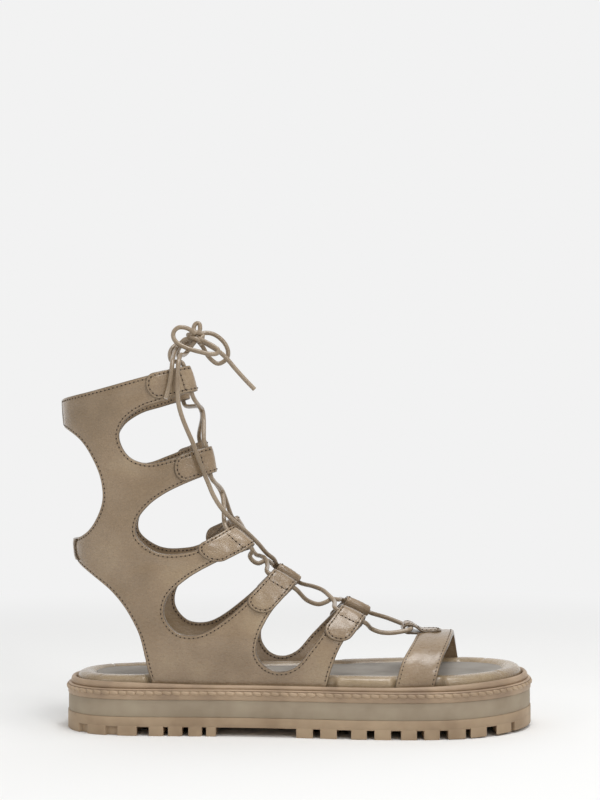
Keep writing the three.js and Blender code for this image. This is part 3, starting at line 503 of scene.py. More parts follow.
def leather_piece(name, loops, place, thickness, spacing=1.8, relief=None, rings=EDGE_RINGS):
    """A cut of leather laid on its form, with a wall, rounded edges and a shallow stitch channel."""
    flat, faces, distance = cut_leather(loops, spacing, rings)
    r = min(EDGE_ROUND, thickness / 2)
    turned = np.clip(r - distance, 0, r)
    edge = r - np.sqrt(np.maximum(r * r - turned**2, 0))
    channel = 0.16 * np.exp(-(((distance - STITCH_INSET) / 0.5) ** 2))
    swell = relief(flat, distance) if relief else 0.0
    outer = place(flat, swell - edge - channel)
    inner = place(flat, swell * 0.8 - thickness + edge)
    count = len(flat)
    solid = [tuple(f) for f in faces] + [(c + count, b + count, a + count) for a, b, c in faces]
    solid += [(b, a, a + count, b + count) for a, b in rim_of(faces)]
    item = make_object(name, world(np.vstack([outer, inner])), solid)
    layer = item.data.attributes.new("edge_mm", "FLOAT", "POINT")
    layer.data.foreach_set("value", np.concatenate([distance, distance]).astype(np.float32))
    sides = [0] * len(faces) + [1] * len(faces) + [2] * (len(solid) - 2 * len(faces))
    item.data.polygons.foreach_set("material_index", sides[:len(item.data.polygons)])
    return item


# ---------- stitches ----------

STITCHES = {"thread": [], "hole": []}
THREAD_PROFILE = [  # along, radius, rise out of the leather
    (-0.4, 0.12, -0.18), (-0.28, 0.22, 0.0), (0.0, 0.28, 0.08), (0.28, 0.22, 0.0), (0.4, 0.12, -0.18),
]
# dark discs at the needle holes: painted shade of the holes
HOLE_SHADE_PROFILE = [(-0.5, 0.16, 0.0), (-0.22, 0.42, 0.03), (0.22, 0.42, 0.03), (0.5, 0.16, 0.0)]


def stitch_line(path, place, closed, lift=0.0, skip=None):
    """Thread, and dark discs of painted shade for the needle holes, along a flat line on a leather form."""
    even = evenly(path, STITCH_PITCH, closed)
    if skip is not None:
        mask = skip(even)
    ends = np.roll(even, -1, 0) if closed else even[1:]
    starts = even if closed else even[:-1]
    middle = (starts + ends) / 2
    high = place(middle, np.full(len(middle), lift + 0.5))
    low = place(middle, np.full(len(middle), lift))
    tips = place(ends, np.full(len(ends), lift)) - place(starts, np.full(len(starts), lift))
    holes = place(starts, np.full(len(starts), lift))
    for i in range(len(middle)):
        if skip is not None and mask[i]:
            continue
        out = (high[i] - low[i]) / 0.5
        along = tips[i] / max(np.linalg.norm(tips[i]), 1e-6)
        STITCHES["thread"].append((low[i], along, out, np.linalg.norm(tips[i])))
        STITCHES["hole"].append((holes[i], along, out, 1.0))


def repeated(name, seats, profile, sides):
    """One small round-ended shape, copied to every seat and joined. profile: along, radius, rise."""
    vertices = []
    faces = []
    for seat, along, out, stretch in seats:
        across = np.cross(out, along)
        faces += stacked(sides, len(profile), len(vertices))
        for way, radius, rise in profile:
            for k in range(sides):
                turn = 2 * math.pi * k / sides
                vertices.append(seat + along * way * stretch + across * radius * math.cos(turn)
                                + out * (rise + radius * 0.8 * math.sin(turn)))
    return make_object(name, world(vertices), faces)


# ---------- camera ----------

def make_camera():
    data = bpy.data.cameras.new("camera")
    data.lens = 62.06
    data.sensor_width = 36
    data.shift_y = 0.08625
    camera = bpy.data.objects.new("camera", data)
    bpy.context.scene.collection.objects.link(camera)
    camera.location = world([0, -800, 148])
    camera.rotation_euler = (math.radians(90), 0, 0)
    bpy.context.scene.camera = camera


make_camera()


# ---------- lace ----------

def lace_piece(name, points, per_span=10, diameter=LACE_DIAMETER):
    line = evenly(through(points, per_span), 0.8)
    data = bpy.data.curves.new(name, "CURVE")
    data.dimensions = "3D"
    data.bevel_depth = diameter / 2  # times each point's radius, in millimetres
    data.bevel_resolution = 4
    data.use_fill_caps = True
    spline = data.splines.new("POLY")
    spline.points.add(len(line) - 1)
    for point, place in zip(spline.points, world(line)):
        point.co = (*place, 1)
        point.radius = MM
    spline.use_smooth = True
    item = bpy.data.objects.new(name, data)
    bpy.context.scene.collection.objects.link(item)
    return item, lengths(world(line))[-1]


def free_lace(name, points, node):
    item, length = lace_piece(name, points)
    settle(item, "lace", node)
    tuple(world(points[0]))
    return item


def tunnel_frame(end, side):
    """One strap end: its fold, its two directions in the side view, and real lengths behind the fold."""
    upper, lower, tab, lean = end
    corners = side_place([upper, lower], side)
    fold = corners.mean(0)
    width = np.linalg.norm(corners[0] - corners[1])
    across = (corners[0] - corners[1]) / width
    back = -np.array([math.cos(math.radians(lean)), math.sin(math.radians(lean))])
    wall = WALLS[side]
    flat_way = np.arange(-4, 60, 0.5)
    flat = wall.unroll(fold + back * flat_way[:, None])
    real_way = lengths(wall.place(flat[:, 0], flat[:, 1], np.zeros(len(flat))))
    real_way -= np.interp(0, flat_way, real_way)
    ends = wall.unroll(fold + back * np.interp(5, real_way, flat_way) + across * np.array([[1.0], [-1.0]]))
    axis = wall.place(ends[:, 0], ends[:, 1], np.zeros(2))
    axis = (axis[0] - axis[1]) / np.linalg.norm(axis[0] - axis[1])
    return {"fold": fold, "across": across, "back": back, "width": width, "axis": axis, "flat_way": flat_way,
            "real_way": real_way, "tab": tab, "wall": wall, "side": side}


def strap_coordinates(frame_, side_view):
    """How far behind the fold and how far across, in the side view."""
    basis = np.linalg.inv(np.stack([frame_["back"], frame_["across"]], 1))
    return ((side_view - frame_["fold"]) @ basis.T).T


def on_strap(frame_, t, w, n):
    """A point t behind the fold, w up across it and n out of the leather."""
    way = np.interp(t, frame_["real_way"], frame_["flat_way"])
    side_view = frame_["fold"] + frame_["back"] * way[:, None] + frame_["across"] * w[:, None]
    flat = frame_["wall"].unroll(side_view)
    return frame_["wall"].place(flat[:, 0], flat[:, 1], n)


TUNNELS = {(i, side): tunnel_frame(end, side) for i, end in enumerate(STRAP_ENDS) for side in (-1, 1)}


def fold_point(number, way, side):
    """On the tunnel's line: way is -1 to 1 from the lower mouth to the upper, and beyond that outside."""
    frame_ = TUNNELS[number, side]
    held = np.clip(way, -1, 1)
    place = on_strap(frame_, np.array([FLAP_WAY]), np.array([frame_["width"] / 2 * held]), np.zeros(1))[0]
    return place + frame_["axis"] * frame_["width"] / 2 * (way - held)


def make_laces():
    """The crossed lace, as two halves from the knot to the toe loop, and the bow's free strands."""
    halves = []
    for start in (-1, 1):
        points = TOP_ENDS[start][::-1]
        side = start
        for i in range(len(STRAP_ENDS)):
            width = TUNNELS[i, side]["width"]
            past = 1 + 2 * (LACE_LEADS["upper"] if i < 2 else LACE_LEADS["lower"]) / width
            points += [fold_point(i, past, side), fold_point(i, 0.5, side), fold_point(i, -0.5, side),
                       fold_point(i, -past, side)]
            if i < len(CROSSINGS):
                points += CROSSINGS[i][0 if side < 0 else 1]
                side = -side
        points += TOE_LEADS[side] + [(62.3, side * 11.5, 56.1), (63.9, side * 6.5, 56.5), (63.9, 0, 56.5)]
        halves.append(points)
    line = halves[0] + halves[1][-2::-1]
    item, _ = lace_piece("crossed_lace", line, 8)
    settle(item, "lace", "lace_crossed")

    front = free_lace("lace_bow_front", BOW_FRONT_LOOP, "lace_bow")
    back = free_lace("lace_bow_back", BOW_BACK_LOOP, "lace_bow")
    tail = free_lace("lace_bow_tail", BOW_TOP_LOOP + LACE_TAIL, "lace_bow")
    short = free_lace("short_lace_end", [(-61.5, -6.2, 223.2)] + LACE_SHORT, "lace_short")
    long_route = [(-60.5, -6.8, 221.2)] + LACE_LONG + [
        tuple(fold_point(3, way, 1) + past) for way, past in ((1.05, (0.8, 0.0, 1.2)), (0.7, (0.5, 0.0, 1.0)))]
    long = free_lace("long_lace_strand", long_route, "lace_long")
    return [item, front, back, tail, short, long]


def make_knot():
    """The half-pulled knot: two turns of lace drawn round a small core."""
    turns = [
        [(-63.2, -3, 221.4), (-64.2, -6.4, 223.4), (-62.6, -8.8, 225.6), (-59.4, -8.6, 226.4),
         (-56.9, -6, 225.4),
         (-56.4, -3, 223.2), (-58, -1.4, 221.4)],
        [(-64.6, -6.2, 225.4), (-61.8, -8.6, 223.6), (-58.4, -9, 222), (-56.4, -6.8, 220.6),
         (-57.4, -3.4, 220.2)],
        [(-63.6, -1.6, 224.8), (-60.4, -1.2, 226.4), (-57.2, -3.2, 226.6), (-56, -6, 224.4),
         (-57.4, -8.2, 222.6)],
    ]
    pieces = [lace_piece(f"knot_turn_{k}", loop, 6)[0] for k, loop in enumerate(turns)]
    bpy.ops.mesh.primitive_uv_sphere_add(segments=20, ring_count=12, radius=3.3 * MM, location=world(KNOT))
    core = bpy.context.object
    core.name = "knot_core"
    bpy.ops.object.transform_apply(location=True, rotation=True, scale=True)
    bpy.ops.object.shade_smooth()
    pieces.append(core)
    for piece in pieces:
        settle(piece, "lace", "lace_bow")
    return pieces


LACES = make_laces() + make_knot()


# ---------- the upper ----------

def cut_back(curve, index, side, at_start):
    """Ends a window's edge, in the side view, where the strap turns over."""
    frame_ = TUNNELS[index, side]
    limit = np.interp(TUNNEL_LENGTH + 0.2, frame_["real_way"], frame_["flat_way"])
    line = curve if at_start else curve[::-1]
    along = strap_coordinates(frame_, line)[0]
    first = int(np.argmax(along > limit))
    if first == 0:
        return curve
    share = (limit - along[first - 1]) / (along[first] - along[first - 1])
    start = line[first - 1] + (line[first] - line[first - 1]) * share
    line = np.vstack([start[None], line[first:]])
    return line if at_start else line[::-1]


def half_outline(side):
    """One half's outline from the top band round to the heel, and its half of the back window, unrolled."""
    wall = WALLS[side]

    def curve(points):
        return evenly(through(side_place(points, side), 10), 1.0)

    parts = [cut_back(curve(TOP_EDGE), 0, side, False)]
    for i, window in enumerate(WINDOWS):
        edge = cut_back(curve(window), i, side, True)
        parts.append(cut_back(edge, i + 1, side, False))
    parts.append(cut_back(curve(FOOT_FRONT), 4, side, True))
    heel = np.vstack([side_place(HEEL_EDGE[:2], side), curve(HEEL_EDGE[2:])])
    foot = side_place([FOOT_FRONT[-1]], side)[0]
    sole = np.stack([np.linspace(foot[0], heel[0][0], 90)[1:-1], np.full(88, SOLE_MEETS_UPPER)], 1)
    outline = wall.unroll(np.vstack([*parts, sole, heel]))
    keep = np.ones(len(outline), bool)
    keep[1:] = np.linalg.norm(np.diff(outline, axis=0), axis=1) > 0.12
    return outline[keep], wall.unroll(curve(BACK_WINDOW))


def fill_gaps(loop, spacing=1.2):
    """Adds points along the longer straight stretches of an outline."""
    out = []
    for a, b in zip(loop, np.roll(loop, -1, 0)):
        count = max(1, int(np.linalg.norm(b - a) / spacing))
        out.append(a + (b - a) * np.arange(count)[:, None] / count)
    return np.vstack(out)


def to_sheet(points, side):
    return points * (-side, 1)


def place_on_wall(flat, offset):
    offset = np.broadcast_to(np.asarray(offset, float), (len(flat),))
    result = np.empty((len(flat), 3))
    for side in (-1, 1):
        mine = flat[:, 0] >= 0 if side < 0 else flat[:, 0] < 0
        if mine.any():
            result[mine] = WALLS[side].place(np.abs(flat[mine, 0]), flat[mine, 1], offset[mine])
    return result


def counter_clockwise(loop):
    x, y = loop.T
    area = (x * np.roll(y, -1) - np.roll(x, -1) * y).sum()
    return loop if area > 0 else loop[::-1]


def upper_relief(flat, distance):
    """Soft waves: slack at the ankle, round the strap roots and along the padded edges."""
    u, z = np.abs(flat[:, 0]), flat[:, 1]
    slow = 0.34 * np.sin(u * 0.16 + z * 0.05 + 1.2) * np.sin(z * 0.085 + 0.4)
    ankle = -0.42 * np.exp(-(((z - 93 - 0.28 * (u - 50)) / 3.4) ** 2)) * smooth_step(28, 44, u) \
        * (1 - smooth_step(66, 88, u))
    second = -0.3 * np.exp(-(((z - 108 + 0.12 * (u - 40)) / 2.6) ** 2)) * (1 - smooth_step(34, 50, u))
    third = -0.28 * np.exp(-(((z - 147 - 0.22 * (u - 40)) / 2.8) ** 2)) * (1 - smooth_step(40, 62, u))
    pad = 0.16 * smooth_step(0.5, 1.2, distance) * (1 - smooth_step(3, 8, distance))
    return (slow + ankle + second + third) * smooth_step(2.4, 7, distance) + pad


LEATHER_PIECES = []


def make_upper():
    outlines = {}
    windows = {}
    for side in (-1, 1):
        outline, window = half_outline(side)
        outlines[side] = to_sheet(outline, side)
        windows[side] = to_sheet(window, side)
    outer = fill_gaps(np.vstack([outlines[-1], outlines[1][::-1]]))
    hole = fill_gaps(np.vstack([windows[-1], windows[1][::-1]]))
    loops = [counter_clockwise(outer), counter_clockwise(hole)[::-1]]
    item = leather_piece("upper_leather", loops, place_on_wall, WALL, 1.8, upper_relief)
    settle(item, "leather", "upper")
    LEATHER_PIECES.append(item)

    folds = [(i, side) for i in range(5) for side in (-1, 1)]

    def skipped(points):
        off = points[:, 1] < 31
        seen = place_on_wall(points, 0)[:, [0, 2]]
        for i, side in folds:
            frame_ = TUNNELS[i, side]
            along, over = strap_coordinates(frame_, seen)
            over = np.abs(over)
            limit = np.interp(TUNNEL_LENGTH + 1.4, frame_["real_way"], frame_["flat_way"])
            mine = points[:, 0] * -side >= 0
            off |= mine & (along < limit) & (over < frame_["width"] * 0.8) & (along > -8)
        return off

    for loop in loops:
        path = loop_inset(loop, STITCH_INSET)
        path = path[edge_distance(path, loops) > STITCH_INSET * 0.92]
        stitch_line(path, place_on_wall, True, lift=-0.02, skip=skipped)
        stitch_line(path, lambda flat, offset: place_on_wall(flat, -WALL - np.asarray(offset)), True,
                    lift=-0.02, skip=skipped)


make_upper()


# ---------- folded lace loops ----------

FOLD_PATH = [  # behind the fold, above the leather's outer face
    (11.5, -1.0), (9.2, -1.25), (6.6, -2.1), (3.6, -2.45), (1.5, -1.9), (0.62, 0), (1.5, 1.95),
    (3.6, 2.5), (6.4, 2.25),
    (9.2, 1.55), (11.6, 1.05), (14.0, 0.95),
]


def fold_profile(tab):
    line = evenly(through(FOLD_PATH + [(tab * 0.75 + 3.5, 0.95), (tab + 0.2, 0.9)], 8), 0.35)
    return line, lengths(line)


def strip_outline(length, half, tab_round, spacing=1.1):
    """A strip with one square end, at zero, and one round end."""
    side = np.arange(0, length - tab_round, spacing)
    turn = np.linspace(-math.pi / 2, math.pi / 2, 22)
    low = np.stack([side, np.full_like(side, -half)], 1)
    cap = np.stack([length - tab_round + tab_round * np.cos(turn), half * np.sin(turn)], 1)
    high = np.stack([side[::-1], np.full_like(side, half)], 1)
    return fill_gaps(np.vstack([low, cap, high]), spacing)


def fold_placer(profile, run, point_at):
    """Maps a strip's own length and width to the fold: point_at gives the wall point for t, w, n."""
    slopes = np.gradient(profile, run, axis=0)
    slopes /= np.linalg.norm(slopes, axis=1)[:, None]

    def place(flat, offset):
        offset = np.broadcast_to(np.asarray(offset, float), (len(flat),))
        s = np.clip(flat[:, 0], 0, run[-1])
        t, n = (np.interp(s, run, profile[:, k]) for k in (0, 1))
        dt, dn = (np.interp(s, run, slopes[:, k]) for k in (0, 1))
        return point_at(t - dn * offset, flat[:, 1], n + dt * offset)

    return place


def fold_stitches(place, length, half, tab_round, mouth, row):
    """Edge stitching of the turned-over flap, from fold to fold, and the row across it."""
    inner = half - STITCH_INSET
    side = np.arange(mouth, length - tab_round, 0.8)
    turn = np.linspace(-math.pi / 2, math.pi / 2, 24)
    reach = tab_round - STITCH_INSET
    path = np.vstack([
        np.stack([side, np.full_like(side, -inner)], 1),
        np.stack([length - tab_round + reach * np.cos(turn), inner * np.sin(turn)], 1),
        np.stack([side[::-1], np.full_like(side, inner)], 1),
    ])
    stitch_line(path, place, False, lift=TAB_THICKNESS / 2)
    across = np.stack([np.full(20, row), np.linspace(-inner + 0.4, inner - 0.4, 20)], 1)
    stitch_line(across, place, False, lift=TAB_THICKNESS / 2)


def make_fold(name, node, tab, half, point_at):
    profile, run = fold_profile(tab)
    length = run[-1]
    tab_round = half * 0.82
    place = fold_placer(profile, run, point_at)
    loops = [counter_clockwise(strip_outline(length, half, tab_round))]
    turned = np.interp(9.6, profile[len(profile) // 3:, 0], run[len(profile) // 3:])
    top = run[int(np.argmin(profile[:, 0]))]

    def relief(flat, distance):
        row = -0.2 * np.exp(-(((flat[:, 0] - turned) / 0.7) ** 2))
        swell = 0.14 * smooth_step(0.6, 2.4, distance)
        wave = 0.12 * np.sin(flat[:, 0] * 0.5 + flat[:, 1] * 0.4)
        return row + swell + wave + TAB_THICKNESS / 2

    item = leather_piece(name, loops, place, TAB_THICKNESS, 1.5, relief)
    settle(item, "leather", node)
    LEATHER_PIECES.append(item)
    fold_stitches(place, length, half, tab_round, top + 2.2, turned)
    return item


def make_strap_loop(i, side):
    frame_ = TUNNELS[i, side]

    def point_at(t, w, n):
        return on_strap(frame_, t, w * -side, n)

    half_name = "outer" if side < 0 else "inner"
    tab = float(np.interp(frame_["tab"], frame_["flat_way"], frame_["real_way"]))
    return make_fold(f"strap_{half_name}_{i + 1}_fold", f"loop_{half_name}_{i + 1}", tab, frame_["width"] / 2,
                     point_at)


for number in range(len(STRAP_ENDS)):
    for which in (-1, 1):
        make_strap_loop(number, which)


# ---------- toe strap ----------

def toe_frame():
    """The arch of the toe strap: its way round at mid width, against the angle."""
    angles = np.linspace(0, 180, 361)
    mid = toe_arch(angles, np.full(361, 0.5), np.zeros(361))
    return angles, lengths(mid)


def toe_arch(angle, share, offset):
    rear, front = (read_table(TOE_STRAP, k, angle) for k in (1, 2))
    x = rear + (front - rear) * share
    radians = np.radians(angle)
    cosine, sine = np.cos(radians), np.sin(radians)
    blend = smooth_step(80, 100, angle)
    half_outer = sole_half(x, -1) - UPPER_INSET - TOE_SIDE_GAP
    half_inner = sole_half(x, 1) - UPPER_INSET - TOE_SIDE_GAP
    half = half_outer * (1 - blend) + half_inner * blend
    power = 2 / TOE_ARCH["exponent"]
    rise = TOE_ARCH["crest"] - TOE_ARCH["foot"]
    y = -np.sign(cosine) * half * np.abs(cosine) ** power
    z = TOE_ARCH["foot"] + toe_spring(x) + rise * np.abs(sine) ** power
    out_y = -np.sign(cosine) * np.abs(cosine) ** (2 - power) / half
    out_z = np.abs(sine) ** (2 - power) / rise
    size = np.hypot(out_y, out_z)
    return np.stack([x, y + out_y / size * offset, z + out_z / size * offset], 1)


TOE_ANGLES, TOE_RUN = toe_frame()


def place_on_toe(flat, offset):
    """flat is the way round from the inner side, so that its turn matches outwards, and x."""
    offset = np.broadcast_to(np.asarray(offset, float), (len(flat),))
    angle = np.interp(TOE_RUN[-1] - flat[:, 0], TOE_RUN, TOE_ANGLES)
    rear, front = (read_table(TOE_STRAP, k, angle) for k in (1, 2))
    return toe_arch(angle, (flat[:, 1] - rear) / (front - rear), offset)


def make_toe_strap():
    angles = np.linspace(0, 180, 160)
    way = TOE_RUN[-1] - np.interp(angles, TOE_ANGLES, TOE_RUN)
    rear = np.stack([way, read_table(TOE_STRAP, 1, angles)], 1)
    front = np.stack([way, read_table(TOE_STRAP, 2, angles)], 1)
    loops = [counter_clockwise(fill_gaps(np.vstack([rear, front[::-1]]), 1.2))]

    def relief(flat, distance):
        pad = 0.3 * smooth_step(0.5, 1.3, distance) * (1 - smooth_step(5, 13, distance))
        slow = 0.3 * np.sin(flat[:, 0] * 0.11 + 0.8) * np.sin(flat[:, 1] * 0.19)
        return pad + slow * smooth_step(2.5, 6, distance)

    item = leather_piece("toe_strap_leather", loops, place_on_toe, WALL, 1.8, relief)
    settle(item, "leather", "toe_strap")
    LEATHER_PIECES.append(item)
    middle = TOE_RUN[-1] - np.interp(90, TOE_ANGLES, TOE_RUN)

    def skipped(points):
        low = (points[:, 0] < 2.5) | (points[:, 0] > TOE_RUN[-1] - 2.5)
        return low | ((np.abs(points[:, 0] - middle) < TOE_TAB_WIDTH / 2 + 0.6) & (points[:, 1] < 76))

    path = loop_inset(loops[0], STITCH_INSET)
    path = path[edge_distance(path, loops) > STITCH_INSET * 0.92]
    stitch_line(path, place_on_toe, True, lift=0.0, skip=skipped)

    top = read_table(TOE_STRAP, 1, 90.0)
    fold_x = float(top) - 9.5

    def point_at(t, w, n):
        flat = np.stack([middle - w, fold_x + t], 1)
        return place_on_toe(flat, n + 2.5 * (1 - smooth_step(4, 13, t)))

    make_fold("toe_loop_fold", "loop_toe", 23.0, TOE_TAB_WIDTH / 2, point_at)


make_toe_strap()


def make_back_pieces():
    """The ankle stay over the lower back band, and the binding over the top band's back seam."""
    ways = {  # reach from the back seam, low, high, hollow of the sides, thickness
        "ankle_stay": (12.5, 96.0, 108.3, 5.5, 1.25), "back_binding": (2.6, 173.2, 187.9, -0.8, 0.55),
    }
    for name, (reach, low, high, bow, thick) in ways.items():
        zs = np.linspace(low, high, 14)
        middle = 1 - ((zs - (low + high) / 2) / ((high - low) / 2)) ** 2
        curve = reach - bow * middle
        outline = np.vstack([np.stack([curve, zs], 1), np.stack([-curve[::-1], zs[::-1]], 1)])
        loops = [counter_clockwise(fill_gaps(outline, 0.9))]
        item = leather_piece(name, loops, place_on_wall, thick, 1.4,
                             lambda flat, distance, t=thick: t + 0.1 + 0.35 * smooth_step(0.4, 3.5, distance),
                             (0.2, 0.45, 0.8, 1.15))
        settle(item, "leather")
        LEATHER_PIECES.append(item)


make_back_pieces()


def make_stitches():
    threads = repeated("stitches", STITCHES["thread"], THREAD_PROFILE, 6)
    holes = repeated("stitch_hole_shade", STITCHES["hole"], HOLE_SHADE_PROFILE, 6)
    settle(threads, "leather")
    settle(holes, "leather")
    return threads, holes


THREADS, HOLE_SHADES = make_stitches()


# ---------- the sole ----------

def plan_loft(name, rows, spacing=1.5, ends=True):
    """Walls through insets of the sole's plan. Each row: inset and height, as numbers or along the plan."""
    rings = []
    for inset, z in rows:
        ring = inset_plan(np.asarray(inset)[..., None] if np.ndim(inset) else inset, spacing)
        rings.append(np.column_stack([ring, np.broadcast_to(z, len(ring)) + toe_spring(ring[:, 0])]))
    return make_object(name, world(np.vstack(rings)), stacked(len(rings[0]), len(rings), ends=ends))


def make_midsole():
    item = plan_loft("midsole_foam", [(1.3, 10.4), (0.62, 10.42), (0.42, 10.75), (0.36, 15), (0.42, 19.8),
                                      (0.6, 20.05), (1.3, 20.1)])
    return settle(item, "midsole_foam", "midsole")


def make_welt():
    spacing = 1.2
    ring = inset_plan(0, spacing)
    tall = 2.2 + 1.5 * smooth_step(40, 120, np.abs(ring[:, 0]))
    rows = [(0.9, 20.0), (0.3, 20.05), (0.05, 20.35), (0.0, 21.4), (0.0, 25.0), (0.25, 25.7), (0.8, 26.0),
            (1.45, 25.75), (1.75, 25.9)]
    for k in range(9):
        turn = math.pi * k / 8
        rows.append((3.4 - 1.7 * math.cos(turn), 25.9 + tall * math.sin(turn) ** 0.8))
    rows.append((5.2, 25.6))
    item = plan_loft("welt_rubber", rows, spacing)
    return settle(item, "welt_rubber", "welt")


def make_lock_stitches():
    """Slanted lock stitches hanging under the groove round the welt, and a thin dark strip of painted shade
    lying in the groove.
    """
    ring = evenly(PLAN, 5.0, closed=True)
    along = np.roll(ring, -1, 0) - np.roll(ring, 1, 0)
    along /= np.linalg.norm(along, axis=1)[:, None]
    seats = []
    for point, way in zip(ring, along):
        out = np.array([way[1], -way[0], 0])
        slant = np.array([way[0], way[1], -0.2])
        slant /= np.linalg.norm(slant)
        z = 23.75 + float(toe_spring(point[0]))
        seats.append((np.array([point[0], point[1], z]) - out * 0.16, slant, out, 5.0))
    item = repeated("lock_stitches", seats, [
        (-0.5, 0.5, -0.1), (-0.45, 0.85, 0.0), (-0.25, 1.15, 0.04), (0.0, 1.25, 0.05), (0.25, 1.15, 0.04),
        (0.45, 0.8, 0.0), (0.49, 0.4, -0.1)], 12)
    settle(item, "welt_rubber")
    # a thin strip in the groove, in dark rubber: painted shade of the groove
    rows = [(0.4, 24.95), (-0.03, 25.02), (-0.04, 25.3), (0.4, 25.36)]
    groove = plan_loft("welt_groove_shade", rows, 1.5, ends=False)
    settle(groove, "welt_rubber")
    return item, groove


def side_at(x, side, inset=0.0):
    ring = inset_plan(inset, 1.0)
    mine = ring[ring[:, 1] > 0] if side > 0 else ring[ring[:, 1] < 1]
    order = np.argsort(mine[:, 0])
    return np.interp(x, mine[order, 0], mine[order, 1])


def lug_shapes():
    """Plan outlines of the rubber blocks: side lugs, heel and toe blocks, and middle bars."""
    shapes = []
    deep = [n for n in NOTCHES if n[2] == LUG_REACH]
    for side in (-1, 1):
        for left, right in zip(deep[:-1], deep[1:]):
            if left[1] >= right[0]:
                continue
            lean = 0.9 if (left[0] * 7) % 2 > 1 else -0.5
            xs = np.linspace(left[1], right[0], 14)
            outer = np.stack([xs, side_at(xs, side)], 1)
            inner_x = np.linspace(left[1] + lean, right[0] + lean * 0.5, 8)
            inner = np.stack([inner_x, side_at(inner_x, side, LUG_REACH)], 1)
            shapes.append(np.vstack([outer, inner[::-1]]))
    ring = evenly(PLAN, 1.0, closed=True)
    deep_ring = inset_plan(LUG_REACH, 1.0)
    shallow = [n for n in NOTCHES if n[2] != LUG_REACH]
    for limit, tip in ((deep[0][0], -1), (deep[-1][1], 1)):
        mine = (ring[:, 0] - limit) * tip > 0
        order = np.arange(len(ring))
        if tip < 0:
            order = np.roll(order, len(ring) // 2)
        order = order[mine[order]]
        outline = []
        for i in order:
            point = ring[i]
            reach = next((n[2] for n in shallow if n[0] < point[0] < n[1]), 0.0)
            away = deep_ring[i] - ring[i]
            outline.append(point + away * min(reach, 12) / LUG_REACH)
        back = [deep_ring[i] for i in order if (deep_ring[i, 0] - limit) * tip > 0][::-1]
        shapes.append(np.array(outline + back))
    waist_low, waist_high, _ = max(deep, key=lambda n: n[1] - n[0])
    for k in range(BARS["count"]):
        high = BARS["first"] + BARS["pitch"] * k
        low = high - BARS["pitch"] + BARS["gap"]
        if low < -106 or high > 112 or (high > waist_low and low < waist_high):
            continue
        xs = np.linspace(low, high, 6)
        outer = side_at(xs, -1, BARS["inset"])
        inner = side_at(xs, 1, BARS["inset"])
        if np.min(inner - outer) < BARS["shortest"]:
            continue
        shapes.append(np.vstack([np.stack([xs, outer], 1), np.stack([xs, inner], 1)[::-1]]))
    return [counter_clockwise(shape) for shape in shapes]


def make_outsole():
    slab = plan_loft("outsole_slab", [(17.5, 4.9), (0.8, 4.9), (0.25, 5.0), (0.0, 5.5), (0.0, 10.1),
                                      (0.2, 10.38), (0.9, 10.45)])
    vertices = []
    faces = []
    for shape in lug_shapes():
        faces += stacked(len(shape), 2, len(vertices))
        for z in (0.0, LUG_TOP):
            vertices += [(x, y, z + float(toe_spring(x))) for x, y in shape]
    lugs = make_object("outsole_lugs", world(vertices), faces)
    deselect()
    bpy.context.view_layer.objects.active = lugs
    lugs.select_set(True)
    bevel = lugs.modifiers.new("edges", "BEVEL")
    bevel.width = 0.75 * MM
    bevel.segments = 3
    bevel.angle_limit = math.radians(35)
    bpy.ops.object.modifier_apply(modifier=bevel.name)
    bpy.ops.object.shade_smooth_by_angle(angle=math.radians(35))
    for item in (slab, lugs):
        settle(item, "outsole_rubber", "outsole")
    return [slab, lugs]


FOOT_SLOTS = {  # along x, where the leather goes down into the sole
    -1: ((-86, 19), (50.8, 80.5)), 1: ((-86, 23), (72.5, 99.5)),
}


RIM_INNER = 16.5
RIM_PROFILE = [  # how far inwards, and what share of the crown's height
    (0.1, 0.5), (0.45, 0.68), (1.2, 0.84), (2.4, 0.95), (4.2, 1.0), (6.0, 0.985), (7.8, 0.9), (9.2, 0.78),
    (10.3, 0.62),
]


def make_footbed():
    """A padded leather rim that steps in where the straps go down, and the sock lying inside it."""
    spacing = 1.2
    ring = inset_plan(0, spacing)
    held = np.zeros(len(ring))
    for side, slots in FOOT_SLOTS.items():
        mine = ring[:, 1] * side > 0
        for low, high in slots:
            run = smooth_step(low - 1.5, low + 1.5, ring[:, 0])
            run = run * (1 - smooth_step(high - 1.5, high + 1.5, ring[:, 0]))
            held = np.maximum(held, np.where(mine, run, 0))
    edge = 5.55 + 3.1 * held
    crown = 32.3 + 1.1 * smooth_step(-110, -60, ring[:, 0])
    seams = np.exp(-(((ring[:, 0] + 116) / 0.7) ** 2)) + np.exp(-(((ring[:, 0] - 118) / 0.7) ** 2))
    crown = crown - 0.9 * seams

    def height(share):
        return SOLE_MEETS_UPPER + (crown - SOLE_MEETS_UPPER) * share

    rows = [(edge + 0.9, 26.2 + 0 * edge), (edge + 0.3, 26.5 + 0 * edge), (edge, 27.6 + 0 * edge)]
    for way, share in RIM_PROFILE:
        done = way / RIM_PROFILE[-1][0]
        rows.append((edge * (1 - done) + done * RIM_INNER + way * (1 - done) * 0.2, height(share)))
    rows.append((np.full(len(ring), 17.4), np.full(len(ring), 29.9)))
    item = plan_loft("footbed_rim", rows, spacing)
    settle(item, "leather", "footbed")
    sock = plan_loft("sock", [(17.0, 30.0), (16.4, 30.2), (16.2, 30.9), (16.6, 31.35), (17.6, 31.5),
                              (18.3, 31.36), (19.2, 31.45), (24.0, 31.5)])
    settle(sock, "sock", "sock_lining")
    return item, sock


MIDSOLE = make_midsole()
WELT = make_welt()
LOCK_STITCHES, GROOVE = make_lock_stitches()
OUTSOLE = make_outsole()
RIM, SOCK = make_footbed()


# ---------- materials ----------

def linear(code):
    """sRGB hex to a linear colour."""
    parts = [int(code[i:i + 2], 16) / 255 for i in (1, 3, 5)]
    return tuple(c / 12.92 if c <= 0.04045 else ((c + 0.055) / 1.055) ** 2.4 for c in parts) + (1.0,)


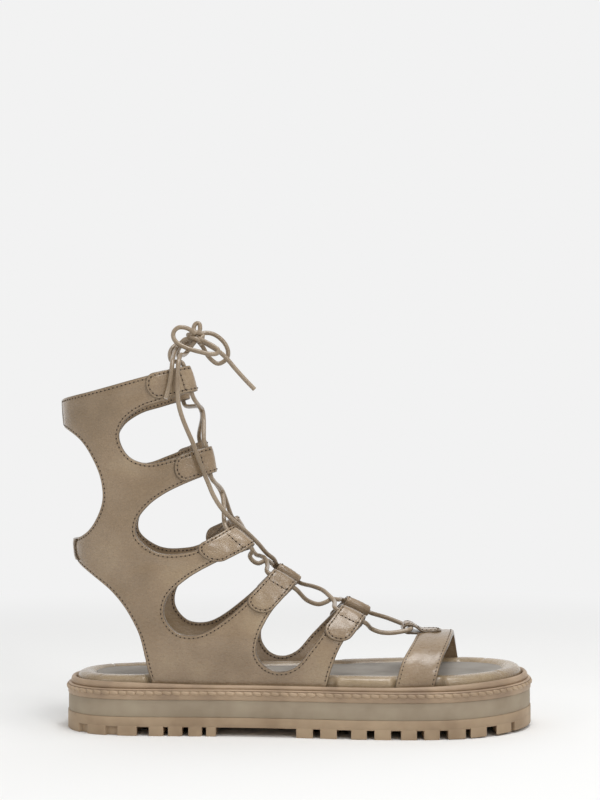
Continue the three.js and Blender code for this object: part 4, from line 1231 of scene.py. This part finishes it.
def add(tree, kind, settings=None, **links):
    """One node, its settings or values by name, and its inputs linked or set."""
    node = tree.nodes.new("ShaderNode" + kind)
    for key, value in (settings or {}).items():
        setattr(node, key, value)
    for key, value in links.items():
        socket = node.inputs[int(key[1:])] if key[0] == "i" and key[1:].isdigit() else node.inputs[
            key.replace("_", " ")]
        if isinstance(value, bpy.types.NodeSocket):
            tree.links.new(value, socket)
        else:
            socket.default_value = value
    return node


def shades(tree, factor, *stops):
    node = tree.nodes.new("ShaderNodeValToRGB")
    tree.links.new(factor, node.inputs["Fac"])
    ramp = node.color_ramp
    while len(ramp.elements) < len(stops):
        ramp.elements.new(0.5)
    for element, (at, code) in zip(ramp.elements, stops):
        element.position = at
        element.color = linear(code)
    return node.outputs["Color"]


def start(name):
    """A new material with its principled node and coordinates in millimetres."""
    made = bpy.data.materials.new(name)
    made.use_nodes = True
    tree = made.node_tree
    tree.nodes.clear()
    shader = add(tree, "BsdfPrincipled")
    output = add(tree, "OutputMaterial")
    tree.links.new(shader.outputs[0], output.inputs[0])
    place = add(tree, "TexCoord")
    scaled = add(tree, "Mapping", Vector=place.outputs["Object"], Scale=(1000, 1000, 1000))
    return made, tree, shader, scaled.outputs[0]


def leather(name, dark, mid, light, rough, grain=1.0, edge=False, coat=0.3):
    """Smooth calf leather: fine grain and pulled creases, slow tonal changes, a soft polish, and with edge
    set, painted shade that darkens the face towards its cut edges.
    """
    made, tree, shader, mm = start(name)
    slow = add(tree, "TexNoise", Vector=mm, Scale=0.03, Detail=2.0, Roughness=0.5)
    fine = add(tree, "TexNoise", Vector=mm, Scale=0.5, Detail=4.0, Roughness=0.6)
    both = add(tree, "Math", {"operation": "MULTIPLY_ADD"}, i0=fine.outputs[0], i1=0.25, i2=slow.outputs[0])
    tone = shades(tree, both.outputs[0], (0.4, dark), (0.64, mid), (0.86, light))
    tree.links.new(tone, shader.inputs["Base Color"])
    if edge:
        # painted shade: the tone falls to half at the cut edge, over the last 0.8 mm of the face
        away = add(tree, "Attribute", {"attribute_name": "edge_mm"})
        near = add(tree, "MapRange", {"interpolation_type": "SMOOTHSTEP"}, i0=away.outputs["Fac"],
                   i1=0.0, i2=0.8, i3=0.5, i4=1.0)
        shaded = add(tree, "Mix", {"data_type": "RGBA", "blend_type": "MULTIPLY"}, i0=1.0, i6=tone,
                     i7=near.outputs[0])
        tree.links.new(shaded.outputs[2], shader.inputs["Base Color"])
    pulled = add(tree, "Mapping", Vector=mm, Scale=(0.45, 1.0, 1.0), Rotation=(0.0, 0.6, 0.0))
    pores = add(tree, "TexVoronoi", {"feature": "SMOOTH_F1"}, Vector=mm, Scale=1.7)
    wrinkle = add(tree, "TexNoise", Vector=pulled.outputs[0], Scale=0.8, Detail=6.0, Roughness=0.68)
    height = add(tree, "Math", {"operation": "MULTIPLY_ADD"}, i0=pores.outputs[0], i1=0.3,
                 i2=wrinkle.outputs[0])
    bump = add(tree, "Bump", Strength=0.8 * grain, Distance=0.0003, Height=height.outputs[0])
    broad = add(tree, "TexNoise", Vector=mm, Scale=0.11, Detail=2.0)
    bump2 = add(tree, "Bump", Strength=0.5 * grain, Distance=0.0012, Height=broad.outputs[0],
                Normal=bump.outputs[0])
    tree.links.new(bump2.outputs[0], shader.inputs["Normal"])
    shine = add(tree, "MapRange", i0=wrinkle.outputs[0], i1=0.3, i2=0.7, i3=rough - 0.06, i4=rough + 0.08)
    tree.links.new(shine.outputs[0], shader.inputs["Roughness"])
    shader.inputs["Coat Weight"].default_value = coat
    shader.inputs["Coat Roughness"].default_value = 0.22
    return made


def rubber(name, dark, mid, light, rough, size, depth):
    """Moulded rubber or foam: almost even in tone, with a slight skin."""
    made, tree, shader, mm = start(name)
    slow = add(tree, "TexNoise", Vector=mm, Scale=0.05, Detail=3.0)
    skin = add(tree, "TexNoise", Vector=mm, Scale=size, Detail=3.0)
    tone = shades(tree, slow.outputs[0], (0.35, dark), (0.5, mid), (0.68, light))
    tree.links.new(tone, shader.inputs["Base Color"])
    bump = add(tree, "Bump", Strength=0.4, Distance=depth * MM, Height=skin.outputs[0])
    tree.links.new(bump.outputs[0], shader.inputs["Normal"])
    shader.inputs["Roughness"].default_value = rough
    return made


def plain(name, code, rough):
    made, tree, shader, _ = start(name)
    shader.inputs["Base Color"].default_value = linear(code)
    shader.inputs["Roughness"].default_value = rough
    return made


CALF = leather("taupe calf leather", "#857056", "#957f65", "#a59074", 0.28, edge=True, coat=0.45)
LINING = leather("matt leather lining", "#6e5a3f", "#826c4e", "#8f795a", 0.55, 0.7, edge=True, coat=0.0)
CUT_EDGE = leather("painted leather edge", "#57473a", "#635243", "#705e4c", 0.5, coat=0.0)
ROLL = leather("glazed leather rim", "#86725a", "#9d896c", "#ab967a", 0.27, coat=0.5)
LACE = leather("round leather lace", "#79674f", "#907d66", "#a4927b", 0.3, 0.6, coat=0.45)
THREAD = plain("waxed taupe thread", "#8a765f", 0.55)
# near-black discs at the needle holes: painted shade
HOLE_SHADE = plain("painted shade of needle holes", "#33271c", 0.9)
WELT_RUBBER = rubber("moulded tan welt rubber", "#98816a", "#a78f75", "#b29a80", 0.5, 1.2, 0.05)
WELT_STITCH = rubber("waxed welt thread", "#9b846b", "#ab9378", "#b69e83", 0.5, 2.0, 0.06)
SOLE_RUBBER = rubber("matt tan outsole rubber", "#967f65", "#a48d72", "#af987c", 0.6, 0.8, 0.06)
FOAM = rubber("taupe midsole foam", "#968772", "#9f907b", "#a69882", 0.68, 2.2, 0.06)
GROOVE_SHADE = plain("shadowed groove rubber", "#755f4a", 0.8)
SOCK_CLOTH = rubber("grey suede sock", "#8b857d", "#948e86", "#9b958d", 0.85, 1.6, 0.05)


def dress(items, *materials):
    for item in items:
        item.data.materials.clear()
        for material in materials:
            item.data.materials.append(material)


dress(LEATHER_PIECES, CALF, LINING, CUT_EDGE)
dress(LACES, LACE)
dress([THREADS], THREAD)
dress([HOLE_SHADES], HOLE_SHADE)
dress([MIDSOLE], FOAM)
dress([WELT], WELT_RUBBER)
dress([LOCK_STITCHES], WELT_STITCH)
dress([GROOVE], GROOVE_SHADE)
dress(OUTSOLE, SOLE_RUBBER)
dress([RIM], ROLL)
dress([SOCK], SOCK_CLOTH)


# ---------- floor and light ----------

PAPER = "#f0f0ef"
PAPER_FADE = (0.3, 0.9)  # metres from the sandal where the paper turns into a lit backdrop
SKY_STRENGTH = 0.45
LAMPS = [  # name, size, watts, where, aimed at
    ("top", 0.7, 11.5, (0.25, -0.3, 1.5), (0, 0, 0)),
    ("front", 0.35, 4.2, (0.75, -1.25, 0.95), (0, 0, 0.1)),
    ("left", 0.3, 1.5, (-0.95, -0.75, 0.75), (0, 0, 0.14)),
]


def make_stage():
    """A pale paper sweep that turns into a lit backdrop away from the sandal, and soft lamps."""
    rows = [(-5.0, 0.0), (1.2, 0.0)]
    for k in range(1, 17):
        turn = math.pi / 2 * k / 16
        rows.append((1.2 + 1.5 * math.sin(turn), 1.5 * (1 - math.cos(turn))))
    rows.append((2.7, 5.0))
    vertices = [(x, y, z) for y, z in rows for x in (-6, 6)]
    faces = [(2 * k, 2 * k + 1, 2 * k + 3, 2 * k + 2) for k in range(len(rows) - 1)]
    floor = make_object("paper_sweep", vertices, faces)
    paper, tree, shader, _ = start("pale seamless paper")
    shader.inputs["Base Color"].default_value = linear(PAPER)
    shader.inputs["Roughness"].default_value = 0.95
    shader.inputs["Specular IOR Level"].default_value = 0.0
    glow = add(tree, "Emission", Color=linear("#f2f2f2"), Strength=1.0)
    where = add(tree, "TexCoord")
    flat = add(tree, "VectorMath", {"operation": "LENGTH"}, i0=where.outputs["Object"])
    share = add(tree, "MapRange", {"interpolation_type": "SMOOTHSTEP"}, i0=flat.outputs["Value"],
                i1=PAPER_FADE[0], i2=PAPER_FADE[1], i3=0.0, i4=1.0)
    blend = add(tree, "MixShader", i0=share.outputs[0], i1=shader.outputs[0], i2=glow.outputs[0])
    output = next(node for node in tree.nodes if node.type == "OUTPUT_MATERIAL")
    tree.links.new(blend.outputs[0], output.inputs[0])
    dress([floor], paper)
    sky = bpy.data.worlds.new("soft studio")
    sky.use_nodes = True
    sky.node_tree.nodes["Background"].inputs[0].default_value = (1, 1, 1, 1)
    sky.node_tree.nodes["Background"].inputs[1].default_value = SKY_STRENGTH
    bpy.context.scene.world = sky
    for name, size, power, place, aim in LAMPS:
        data = bpy.data.lights.new(name, "AREA")
        data.size = size
        data.energy = power
        lamp = bpy.data.objects.new(name, data)
        bpy.context.scene.collection.objects.link(lamp)
        lamp.location = place
        lamp.rotation_euler = (Vector(aim) - Vector(place)).to_track_quat("-Z", "Y").to_euler()
    bpy.context.scene.view_settings.view_transform = "Standard"


make_stage()
